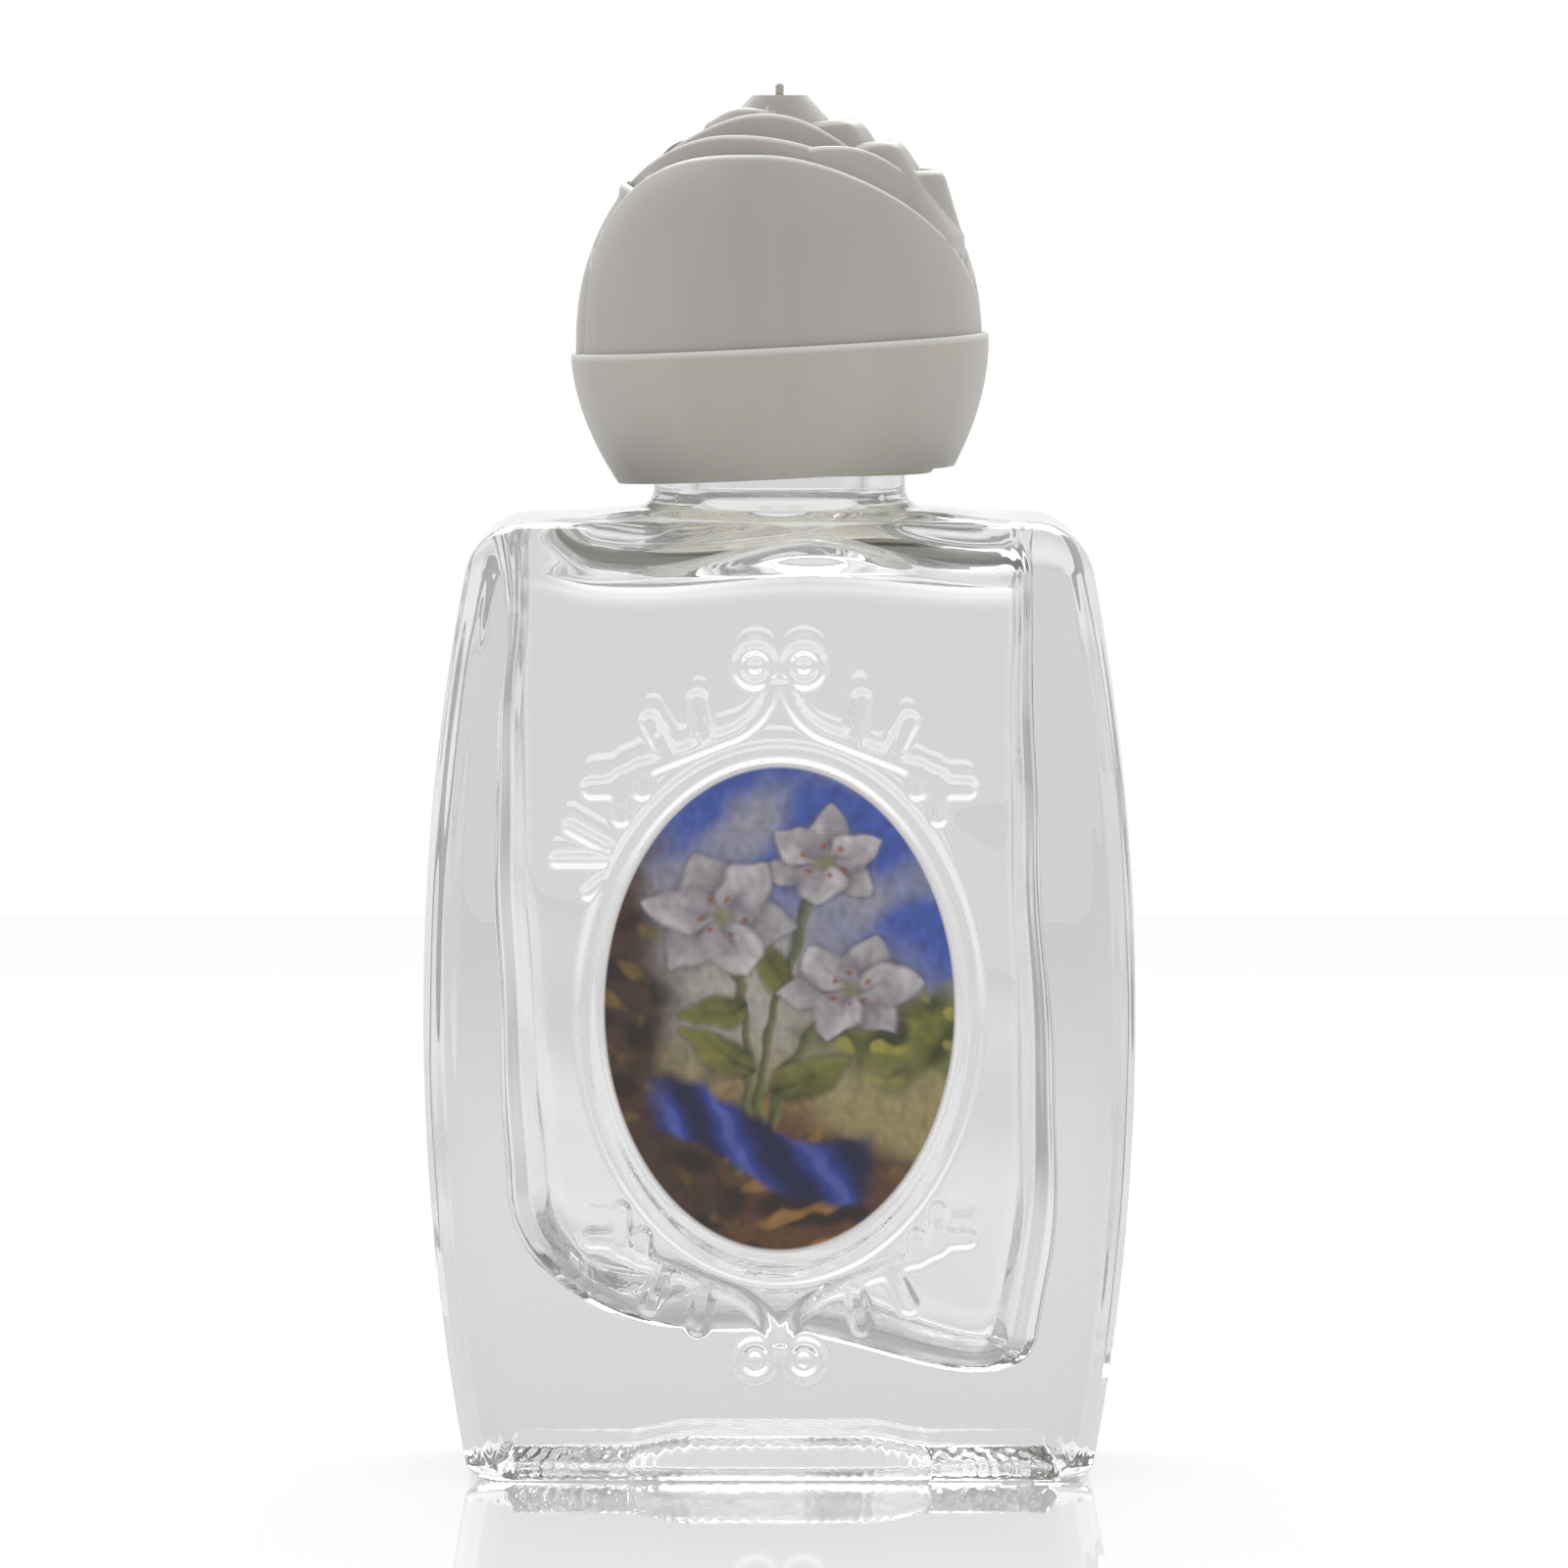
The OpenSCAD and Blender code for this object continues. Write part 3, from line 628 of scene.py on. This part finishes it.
def makeLabel():
    angle = np.linspace(0, 2 * np.pi, label["points"], endpoint=False)
    front, back, edge = labelLow[1], labelHigh[1], label["edge"]
    shares = np.linspace(0, 1, label["rings"])[1:]
    a, b = labelHalf
    rings = [(a * s * np.cos(angle), b * s * np.sin(angle), front) for s in shares[:-1]]
    rings.append(((a - edge) * np.cos(angle), (b - edge) * np.sin(angle), front))
    rings.append((a * np.cos(angle), b * np.sin(angle), front + edge))
    rings.append((a * np.cos(angle), b * np.sin(angle), back))
    rings.append((0.5 * a * np.cos(angle), 0.5 * b * np.sin(angle), back))
    points = np.concatenate([np.stack([x, y + 0 * x, z + labelCentre], -1) for x, z, y in rings])
    ends = [[0, front, labelCentre], [0, back, labelCentre]]
    count, last = len(points), (len(rings) - 1) * label["points"]
    points = np.concatenate([points, ends])
    faces = [quad[::-1] for quad in ringQuads(len(rings), label["points"])]
    faces += fan(count, 0, label["points"], True) + fan(count + 1, last, label["points"], False)
    piece = meshPiece("frontLabel", points, faces, labelPaper(), label["sharpAngle"])
    x, z = points[:, 0], points[:, 2] - labelCentre
    fromEdge = (1 - np.hypot(x / a, z / b)) * min(a, b)
    onFront = points[:, 1] < front + edge / 2
    printed = smooth((fromEdge - label["whiteEdge"]) / label["whiteBlur"] + 0.5) * onFront
    paint = mix(np.array(srgb(*paints["paper"])[:3]), paintedLabel(x, z), printed[:, None])
    # the back of the label gets the painted glow
    markPaintedGlow(piece, points[:, 1] > back - edge / 3)
    ink = piece.data.color_attributes.new("ink", "FLOAT_COLOR", "POINT")
    ink.data.foreach_set("color", np.concatenate([paint, np.ones((len(paint), 1))], 1).ravel())
    return piece


dress(makeLabel(), "bottle", "front_label")


# Cap: foam liner, threaded sleeve, leaning collar and the rose
def closedLathe(name, profile, count, material, sharpAngle, tilt=0, pivot=0, bulge=None):
    loop = profile + [profile[0]]
    points, faces = lathe(loop, count, tilt, pivot)
    size = len(profile) * count
    faces = (np.array(faces) % size).tolist()
    points = points[:size]
    if bulge is not None:
        points = bulge(points)
    return meshPiece(name, points, faces, material, sharpAngle)


linerLow, linerHigh = nodeBox("cap_liner")
liner = dict(edge=0.18, hole=0.05, pressed=0.02, pressIn=0.3, pressOut=0.1, points=96, sharpAngle=50)


def makeLiner():
    r, low, high, e = linerHigh[0], linerLow[2], linerHigh[2], liner["edge"]
    bore, neck, mark = bottle["boreRadius"], bottle["neckRadius"], low + liner["pressed"]
    profile = [(liner["hole"], low), (bore - liner["pressIn"], low), (bore, mark),
               (neck, mark), (neck + liner["pressOut"], low), (r - e, low)]
    profile += [(r - e + e * math.sin(a), low + e - e * math.cos(a)) for a in np.linspace(0.2, np.pi / 2, 5)]
    profile += [(r - e + e * math.cos(a), high - e + e * math.sin(a)) for a in np.linspace(0.1, np.pi / 2, 5)]
    profile += [(liner["hole"], high)]
    piece = closedLathe("capLiner", profile, liner["points"], linerFoam, liner["sharpAngle"])
    # the liner's underside gets the painted glow
    markPaintedGlow(piece, np.repeat([z < low + e / 2 for r, z in profile], liner["points"]))
    return piece


sleeveLow, sleeveHigh = nodeBox("cap_sleeve")
sleeve = dict(bore=8.75, plate=1.2, foot=0.25, footHalf=0.3, hole=0.05, threadIn=0.62, threadEnd=0.4,
              paintedGlowFrom=1, step=0.22, points=160, sharpAngle=45)


def makeSleeve():
    r, low, high, bore = sleeveHigh[0], sleeveLow[2], sleeveHigh[2], sleeve["bore"]
    ceiling, e = high - sleeve["plate"], sleeve["foot"]
    walls = np.arange(low + e, ceiling, sleeve["step"])
    profile = [(sleeve["hole"], ceiling), (bore - 0.02, ceiling)]
    profile += [(bore, z) for z in walls[::-1]]
    for a in np.linspace(0.3, 2.8, 6):
        profile.append(((bore + r) / 2 - sleeve["footHalf"] * math.cos(a), low + e - e * math.sin(a)))
    profile += [(r, z) for z in np.linspace(low + e, high - e, 12)]
    profile += [(r - e + e * math.cos(a), high - e + e * math.sin(a)) for a in np.linspace(0.2, np.pi / 2, 5)]
    profile += [(sleeve["hole"], high)]

    def addThread(points):
        x, y, z = points.T
        far = np.hypot(x, y)
        wall = (np.abs(far - bore) < 0.01) & (z < ceiling - sleeve["threadEnd"])
        between = thread["start"] - thread["lead"] / 2  # half a lead from the neck's thread
        inward = sleeve["threadIn"] * threadRise(np.arctan2(y, x), z, between) * wall
        return np.stack([x * (1 - inward / far), y * (1 - inward / far), z], -1)

    count = sleeve["points"]
    piece = closedLathe("capSleeve", profile, count, sleevePlastic, sleeve["sharpAngle"], bulge=addThread)
    # painted glow on the bore from a little above the foot up to the ceiling
    lit = [r <= bore and low + sleeve["paintedGlowFrom"] < z <= ceiling for r, z in profile]
    markPaintedGlow(piece, np.repeat(lit, count))
    return piece


# the lip settings give the strength and depth of a painted highlight along the collar's lip
collar = dict(tilt=3.0, height=8.0, flare=2.5, power=1.9, wall=0.9, wallFrom=2, hole=10.0, foot=0.3,
              footRise=0.02, lip=0.22, lipRise=0.04, lipDrop=0.06, paintedLipLight=0.7, paintedLipDepth=0.3,
              points=220, sharpAngle=40)
collarRadius = collar["hole"] + collar["foot"] + collar["flare"]


def collarOut(t):  # radius at a depth below the top edge
    return collarRadius - collar["flare"] * (t / collar["height"]) ** collar["power"]


def collarIn(t):
    thick = collar["lip"] + (collar["wall"] - collar["lip"]) * min(1, t / collar["wallFrom"])
    return max(collar["hole"], collarOut(t) - thick)


def makeCollar():
    depths = np.linspace(0, collar["height"], 40)
    inner = [(collarIn(t), lipHeight - t) for t in depths[1:-1]]
    outer = [(collarOut(t), lipHeight - t) for t in depths[::-1]]
    top = [(collarRadius - collar["lip"] * 0.35, lipHeight + collar["lipRise"]),
           (collarRadius - collar["lip"], lipHeight - collar["lipDrop"])]
    foot = [(collar["hole"], lipHeight - collar["height"] + collar["footRise"])]
    profile, count, sharp = inner + foot + outer + top, collar["points"], collar["sharpAngle"]
    piece = closedLathe("capCollar", profile, count, collarPlastic, sharp, collar["tilt"], lipHeight)
    # painted highlight along the collar's lip
    rimHighlight = [collar["paintedLipLight"] * float(smooth(1.2 - (lipHeight - z) / collar["paintedLipDepth"])) for r, z in profile]
    mark = piece.data.attributes.new("rim", "FLOAT", "POINT")
    mark.data.foreach_set("value", np.repeat(rimHighlight, count))
    return piece


# Rose: petals as thin shells round a bud, joined into one skin
# the rim settings give the width and strength of a painted highlight along the petals' thin rims
rose = dict(height=15.2, radius=12.46, domePower=2.2, domeEnd=0.625, rootDepth=2.4, rootRise=0.3, gap=0.12,
            tip=1.65, budSlope=0.9, budFrom=12, budIn=1.1, budFoot=1.5,
            stub=0.25, stubHeight=0.7, stubRoot=0.3, wall=1.0, hollowTop=8.6, post=4.5,
            petalThick=0.8, thickFrom=2, thickSlope=0.25, edgeThick=0.3, edgeRound=0.16, edgeSlope=0.12,
            softRows=(2, 6, 10), softRound=0.6, softThick=0.7, endPower=0.6, layer=0.45, waist=5,
            rim=0.24, paintedRimLight=0.6, ribs=72, steps=40, points=160, sharpAngle=42)
frontEnd = dict(power=0.2, drawIn=9, drawHeight=9)  # the front petal's left end is steeper and draws in below
# turn from the front, height of the tip, reach to the left and right, fall of the edge, squareness to the left
# and right, depth, lean of the wall (0 follows the dome), how far the middle, left end and right end stand out
petalRow = namedtuple("petalRow", "turn tip reach fall square depth lean out left right")
petals = [petalRow(*row) for row in (
    (-10, 11.63, (72, 95), 11.7, (3.0, 2.05), 13, 0, 0, 0, 0),
    (180, 11.3, (98, 112), 11.3, 2.6, 13, 0, 0, -0.6, -0.6),
    (100, 10.65, 46, 2.0, 5, 12, 0.3, 1.5, -1.2, 0),
    (-105, 9.9, (47, 50), 3.0, 3, 12, 0.5, 0.45, 0, -0.8),
    (-28, 12.8, (78, 100), 7.0, 2.3, 8, 0.45, 0, 0, -1.5),
    (30, 12.15, (34, 52), 6.5, (4, 2.3), 8, 0.45, 0.1, -2.2, -0.3),
    (84, 12.45, 44, 2.0, 4, 7, 0.67, 0.9, -1.6, -0.4),
    (150, 12.3, 60, 4.5, 2.3, 8, 0.45, 0.2, -0.5, -0.5),
    (232, 12.5, 62, 4.5, 2.3, 8, 0.45, 0.1, -0.5, -0.5),
    (-14, 14.1, 64, 3.0, 2.3, 6, 0.5, 0, -0.3, -1.0),
    (80, 13.75, 60, 1.2, 3, 6, 0.7, 0.4, -2.4, -0.6),
    (180, 13.8, 80, 3.0, 2.3, 6, 0.5, 0, -0.3, -0.3),
    (-50, 14.45, 52, 0.9, 2.3, 5, 0.6, -0.2, -0.4, -1.6))]


def roseOut(h):  # radius of the dome at a height above the collar
    return rose["radius"] * (1 - np.clip(h / rose["height"], 0, 1) ** rose["domePower"]) ** rose["domeEnd"]


def budOut(h):
    under = np.where(h < rose["budFrom"], roseOut(h) - rose["budIn"], rose["radius"])
    return np.minimum(under, rose["tip"] + rose["budSlope"] * (rose["height"] - h))


def petalEdge(u, petal):  # height of the edge, u from -1 at the left end to 1 at the right
    power = np.where(u < 0, *np.broadcast_to(petal.square, 2))
    end = np.where(u < 0, frontEnd["power"] if petal is petals[0] else rose["endPower"], rose["endPower"])
    return petal.tip - petal.fall * (1 - np.clip(1 - np.abs(u) ** power, 0, 1) ** end)


def petalReach(left, h, petal):  # degrees from a petal's middle to its end
    reach = np.where(left, *np.broadcast_to(petal.reach, 2))
    drawn = frontEnd["drawIn"] * smooth(1 - h / frontEnd["drawHeight"])
    return reach - drawn * left * (petal is petals[0])


def petalWall(u, h, petal):  # outer radius of a petal and the depth below its edge
    edge = petalEdge(u, petal)
    start = 0.3 if petal.lean else 0.86
    ends = smooth((np.abs(u) - start) / (1 - start))
    stand = petal.out + (np.where(u < 0, petal.left, petal.right) - petal.out) * ends
    down = edge - h
    if not petal.lean:
        return roseOut(h) + stand, down
    wall = roseOut(edge) + stand + petal.lean * down
    under = roseOut(h) + np.maximum(stand, 0) - rose["layer"] * smooth(down)
    return np.minimum(np.minimum(wall, under), roseOut(np.minimum(h, rose["waist"])) - rose["layer"]), down


def petalShell(petal):
    u = np.linspace(-1, 1, rose["ribs"])[:, None]
    v = np.linspace(0, 1, rose["steps"])[None, :]
    h = np.maximum(petalEdge(u, petal) - petal.depth * v ** 1.6, -1.2 - 0.2 * v)
    around = np.radians(petal.turn + u * petalReach(u < 0, h, petal))
    wall, down = petalWall(u, h, petal)
    kind = "soft" if any(petal is petals[n] for n in rose["softRows"]) else "edge"
    bend, edgeThick = rose[kind + "Round"], rose[kind + "Thick"]
    outer = wall - bend + np.sqrt(bend ** 2 - np.clip(bend - down, 0, bend) ** 2)
    deep = rose["thickFrom"]
    thick = mix(edgeThick, rose["petalThick"], smooth(down / deep))
    thick = thick + rose["thickSlope"] * np.maximum(down - deep, 0)
    inner = np.maximum(wall - thick, 0.2)
    grids = []
    for radius, low in ((outer, h), (inner, h - rose["edgeSlope"] * smooth(down / 0.5))):
        grids.append(np.stack([radius * np.sin(around), -radius * np.cos(around), lipHeight + low], -1))
    return shellMesh(grids[0], grids[1])


def markPaintedRimLight(mesh):  # marks the thin edges of the petals that no other petal covers, for a painted highlight there
    points = np.empty(len(mesh.vertices) * 3)
    mesh.vertices.foreach_get("co", points)
    x, y, z = points.reshape(-1, 3).T / mm
    far, turned = np.hypot(x, y), np.degrees(np.arctan2(x, -y))
    walls, depths, slants = [], [], []
    for petal in petals:
        side = (turned - petal.turn + 180) % 360 - 180
        reach = petalReach(side < 0, z - lipHeight, petal)
        u = np.clip(side / reach, -1, 1)
        wall, down = petalWall(u, z - lipHeight, petal)
        before, after = (petalWall(np.clip(u + near, -1, 1), z, petal)[1] for near in (-0.01, 0.01))
        rise = after - before
        slants.append(np.hypot(1, rise / (0.02 * np.radians(reach) * np.maximum(far, 1))))
        walls.append(wall)
        depths.append(np.where(np.abs(side) <= reach, down, -1))
    rim = np.zeros(len(x))
    for n in range(len(petals)):
        covered = np.zeros(len(x), bool)
        for other in range(len(petals)):
            covered |= (other != n) & (depths[other] > 0.2) & (walls[other] > walls[n] - 0.12)
        near = (depths[n] > -0.1) & (np.abs(far - walls[n] + 0.1) < 0.25) & ~covered
        rim = np.maximum(rim, near * smooth(1.4 - depths[n] / slants[n] / rose["rim"]))
    # strength of the painted highlight on the uncovered petal rims
    mark = mesh.attributes.new("rim", "FLOAT", "POINT")
    mark.data.foreach_set("value", rim * rose["paintedRimLight"])


def shellMesh(front, back):  # closes two grids of the same size into one thin solid
    rows, cols = front.shape[:2]
    points = np.concatenate([front.reshape(-1, 3), back.reshape(-1, 3)])
    index = np.arange(rows * cols).reshape(rows, cols)
    quads = np.stack([index[:-1, :-1], index[1:, :-1], index[1:, 1:], index[:-1, 1:]], -1).reshape(-1, 4)
    faces = quads[:, ::-1].tolist() + (quads + rows * cols).tolist()
    border = np.concatenate([index[:-1, 0], index[-1, :-1], index[:0:-1, -1], index[0, :0:-1]])
    after = np.roll(border, -1)
    faces += np.stack([border, after, after + rows * cols, border + rows * cols], -1).tolist()
    return points, faces


def bareObject(name, points, faces):
    mesh = bpy.data.meshes.new(name)
    mesh.from_pydata((np.asarray(points) * mm).tolist(), [], faces)
    thing = bpy.data.objects.new(name, mesh)
    bpy.context.scene.collection.objects.link(thing)
    return thing


def joinSolid(base, other, operation="UNION"):  # takes up the other solid, which goes
    cut = base.modifiers.new("join", "BOOLEAN")
    cut.operation = operation
    cut.solver = "MANIFOLD"
    cut.object = other
    bpy.context.view_layer.objects.active = base
    bpy.context.view_layer.update()
    mesh = bpy.data.meshes.new_from_object(base.evaluated_get(bpy.context.evaluated_depsgraph_get()))
    base.modifiers.clear()
    base.data = mesh
    bpy.data.objects.remove(other)


def solidLathe(name, profile, count, tilt=0, pivot=0):  # profile from the axis below to the axis above
    points, faces = lathe(profile[1:-1], count, tilt, pivot)
    ends = leaned(np.array([[0, 0, profile[0][1]], [0, 0, profile[-1][1]]]), tilt, pivot)
    last = (len(profile) - 3) * count
    faces += fan(len(points), 0, count, False) + fan(len(points) + 1, last, count, True)
    return bareObject(name, np.concatenate([points, ends]), faces)


def makeRose():
    heights, top = np.linspace(-rose["budFoot"], rose["height"], 60), lipHeight + rose["height"]
    bud = [(0, lipHeight + heights[0])] + [(float(budOut(h)), lipHeight + h) for h in heights[:-1]]
    head = solidLathe("roseHead", bud + [(rose["tip"], top), (0, top)], rose["points"])
    depths = np.linspace(rose["rootDepth"], 0, 10)
    root = [(0, lipHeight - rose["rootDepth"])] + [(collarIn(t) - rose["gap"], lipHeight - t) for t in depths]
    root += [(collarIn(0) - collar["wall"], lipHeight + rose["rootRise"]), (0, lipHeight + rose["rootRise"])]
    for n, petal in enumerate(petals):
        joinSolid(head, bareObject("petal%d" % n, *petalShell(petal)))
    beyond = 20  # past the whole head, to cut it off along the collar's leaning edge
    reach = [(0, lipHeight), (beyond, lipHeight), (beyond, lipHeight + beyond), (0, lipHeight + beyond)]
    joinSolid(head, solidLathe("above", reach, 32, collar["tilt"], lipHeight), "INTERSECT")
    joinSolid(head, solidLathe("root", root, rose["points"], collar["tilt"], lipHeight))
    rise = np.linspace(0, rose["hollowTop"], 20)
    hollow = [(float(budOut(h)) - rose["wall"], lipHeight + h) for h in rise]
    low, high = lipHeight - rose["rootDepth"] - 1, lipHeight + rose["hollowTop"]
    hollow = [(0, low), (hollow[0][0], low)] + hollow
    hollow += [(rose["post"], high), (rose["post"], sleeveHigh[2]), (0, sleeveHigh[2])]
    joinSolid(head, solidLathe("hollow", hollow, 96), "DIFFERENCE")
    thin, stubFoot, stubTop = rose["stub"], top - rose["stubRoot"], top + rose["stubHeight"]
    stub = [(0, stubFoot), (thin, stubFoot), (thin, stubTop - 0.1), (thin * 0.6, stubTop), (0, stubTop)]
    joinSolid(head, solidLathe("stub", stub, 24))
    mesh = head.data
    mesh.polygons.foreach_set("use_smooth", [True] * len(mesh.polygons))
    mesh.set_sharp_from_angle(angle=math.radians(rose["sharpAngle"]))
    markPaintedRimLight(mesh)
    mesh.materials.clear()
    mesh.materials.append(rosePlastic)
    return head


dress(makeLiner(), "liner", "cap_liner")
dress(makeSleeve(), "cap", "cap_sleeve")
dress(makeCollar(), "cap", "cap_collar")
dress(makeRose(), "cap", "rose_head")


# Studio: glossy white table, a pale field behind with brighter sides and top in a dim room, one soft lamp
studio = dict(floorDrop=0.03, floorHalf=0.6, floorGrey=0.92, floorGloss=0.03, floorIndex=1.5, shadow=0.7,
              white=1.2, underGlass=0.94, fill=0.8, bounces=32,
              behind=0.74, behindFrom=(0.93, 0.985), sides=0.8, sidesFrom=(0.25, 0.75), room=0.42,
              top=1.5, topFrom=(0.02, 0.3), ceiling=0.4, ceilingFrom=(0.35, 0.62))
lamp = dict(place=(0.0, 0.30, 0.34), size=(0.4, 0.25), power=1.2, aim=(0, 0, 0.045))
eye = dict(distance=1060, height=93, aimX=0.27, aimZ=41.8, frame=96, sensor=36)


def throughGlass(tree):  # 1 for rays that have passed through glass, and 1 for rays that show the background
    light = addNode(tree, "ShaderNodeLightPath").outputs
    through = mathNode(tree, "MINIMUM", light["Transmission Depth"], 1.0)
    seen = mathNode(tree, "MAXIMUM", light["Is Camera Ray"], light["Is Glossy Ray"])
    return through, mathNode(tree, "MAXIMUM", seen, light["Is Transmission Ray"])


def makeFloor():
    material = bpy.data.materials.new("whiteTable")
    material.use_nodes = True
    tree = material.node_tree
    tree.nodes.clear()
    through, seen = throughGlass(tree)
    grey = studio["floorGrey"]
    matt = addNode(tree, "ShaderNodeBsdfDiffuse", {"Color": (grey, grey, grey, 1)})
    levels = {"Value": through, "To Min": studio["white"], "To Max": studio["underGlass"]}
    level = addNode(tree, "ShaderNodeMapRange", levels)
    white = addNode(tree, "ShaderNodeEmission", {"Color": (1, 1, 1, 1), "Strength": level.outputs[0]})
    part = mathNode(tree, "MULTIPLY", seen, 1 - studio["shadow"])
    plain = addNode(tree, "ShaderNodeMixShader", {0: part, 1: matt.outputs[0], 2: white.outputs[0]})
    gloss = addNode(tree, "ShaderNodeBsdfGlossy", {"Color": (1, 1, 1, 1), "Roughness": studio["floorGloss"]})
    mirror = addNode(tree, "ShaderNodeFresnel", {"IOR": studio["floorIndex"]})
    shaders = {0: mirror.outputs[0], 1: plain.outputs[0], 2: gloss.outputs[0]}
    both = addNode(tree, "ShaderNodeMixShader", shaders)
    end = addNode(tree, "ShaderNodeOutputMaterial")
    tree.links.new(both.outputs[0], end.inputs["Surface"])
    half, low = studio["floorHalf"], -studio["floorDrop"] * mm
    mesh = bpy.data.meshes.new("table")
    corners = [(-half, -half, low), (half, -half, low), (half, half, low), (-half, half, low)]
    mesh.from_pydata(corners, [], [(0, 1, 2, 3)])
    mesh.materials.append(material)
    table = bpy.data.objects.new("table", mesh)
    bpy.context.scene.collection.objects.link(table)


def makeWorld():
    world = bpy.data.worlds.new("studio")
    bpy.context.scene.world = world
    world.use_nodes = True
    tree = world.node_tree
    tree.nodes.clear()

    def ramp(value, limits, low, high):
        inputs = {"Value": value, "From Min": limits[0], "From Max": limits[1], "To Min": low, "To Max": high}
        return addNode(tree, "ShaderNodeMapRange", inputs, interpolation_type="SMOOTHSTEP").outputs[0]

    through, seen = throughGlass(tree)
    toward = addNode(tree, "ShaderNodeTexCoord").outputs["Generated"]
    axes = addNode(tree, "ShaderNodeSeparateXYZ", {"Vector": toward}).outputs
    around = ramp(axes["Y"], studio["sidesFrom"], studio["room"], studio["sides"])
    field = ramp(axes["Y"], studio["behindFrom"], around, studio["behind"])
    upward = ramp(axes["Z"], studio["topFrom"], 1.0, studio["top"])
    above = ramp(axes["Z"], studio["ceilingFrom"], upward, studio["ceiling"])
    glow = mathNode(tree, "MULTIPLY", field, above)
    plain = addNode(tree, "ShaderNodeMapRange", {"Value": seen, "To Min": studio["fill"], "To Max": 1.0})
    shown = addNode(tree, "ShaderNodeMapRange", {"Value": through, "To Min": plain.outputs[0], "To Max": glow})
    sky = addNode(tree, "ShaderNodeBackground", {"Color": (1, 1, 1, 1), "Strength": shown.outputs[0]})
    end = addNode(tree, "ShaderNodeOutputWorld")
    tree.links.new(sky.outputs[0], end.inputs["Surface"])


def makeLamp():
    data = bpy.data.lights.new("backTop", "AREA")
    data.shape = "RECTANGLE"
    data.size, data.size_y = lamp["size"]
    data.energy = lamp["power"]
    soft = bpy.data.objects.new("backTop", data)
    soft.location = lamp["place"]
    soft.rotation_euler = (Vector(lamp["aim"]) - Vector(lamp["place"])).to_track_quat("-Z", "Y").to_euler()
    bpy.context.scene.collection.objects.link(soft)


def makeCamera():
    data = bpy.data.cameras.new("camera")
    data.sensor_width = eye["sensor"]
    data.lens = eye["sensor"] * eye["distance"] / eye["frame"]
    data.clip_start, data.clip_end = 0.05, 20
    camera = bpy.data.objects.new("camera", data)
    camera.location = Vector((eye["aimX"], -eye["distance"], eye["height"])) * mm
    aim = Vector((eye["aimX"], 0, eye["aimZ"])) * mm
    camera.rotation_euler = (aim - camera.location).to_track_quat("-Z", "Y").to_euler()
    bpy.context.scene.collection.objects.link(camera)
    bpy.context.scene.camera = camera


makeFloor()
makeWorld()
makeLamp()
makeCamera()
for kind in ("max", "glossy", "transmission"):  # thick glass turns a ray back many times
    setattr(bpy.context.scene.cycles, kind + "_bounces", studio["bounces"])
bpy.context.scene.view_settings.view_transform = "Standard"
print("studio ready")
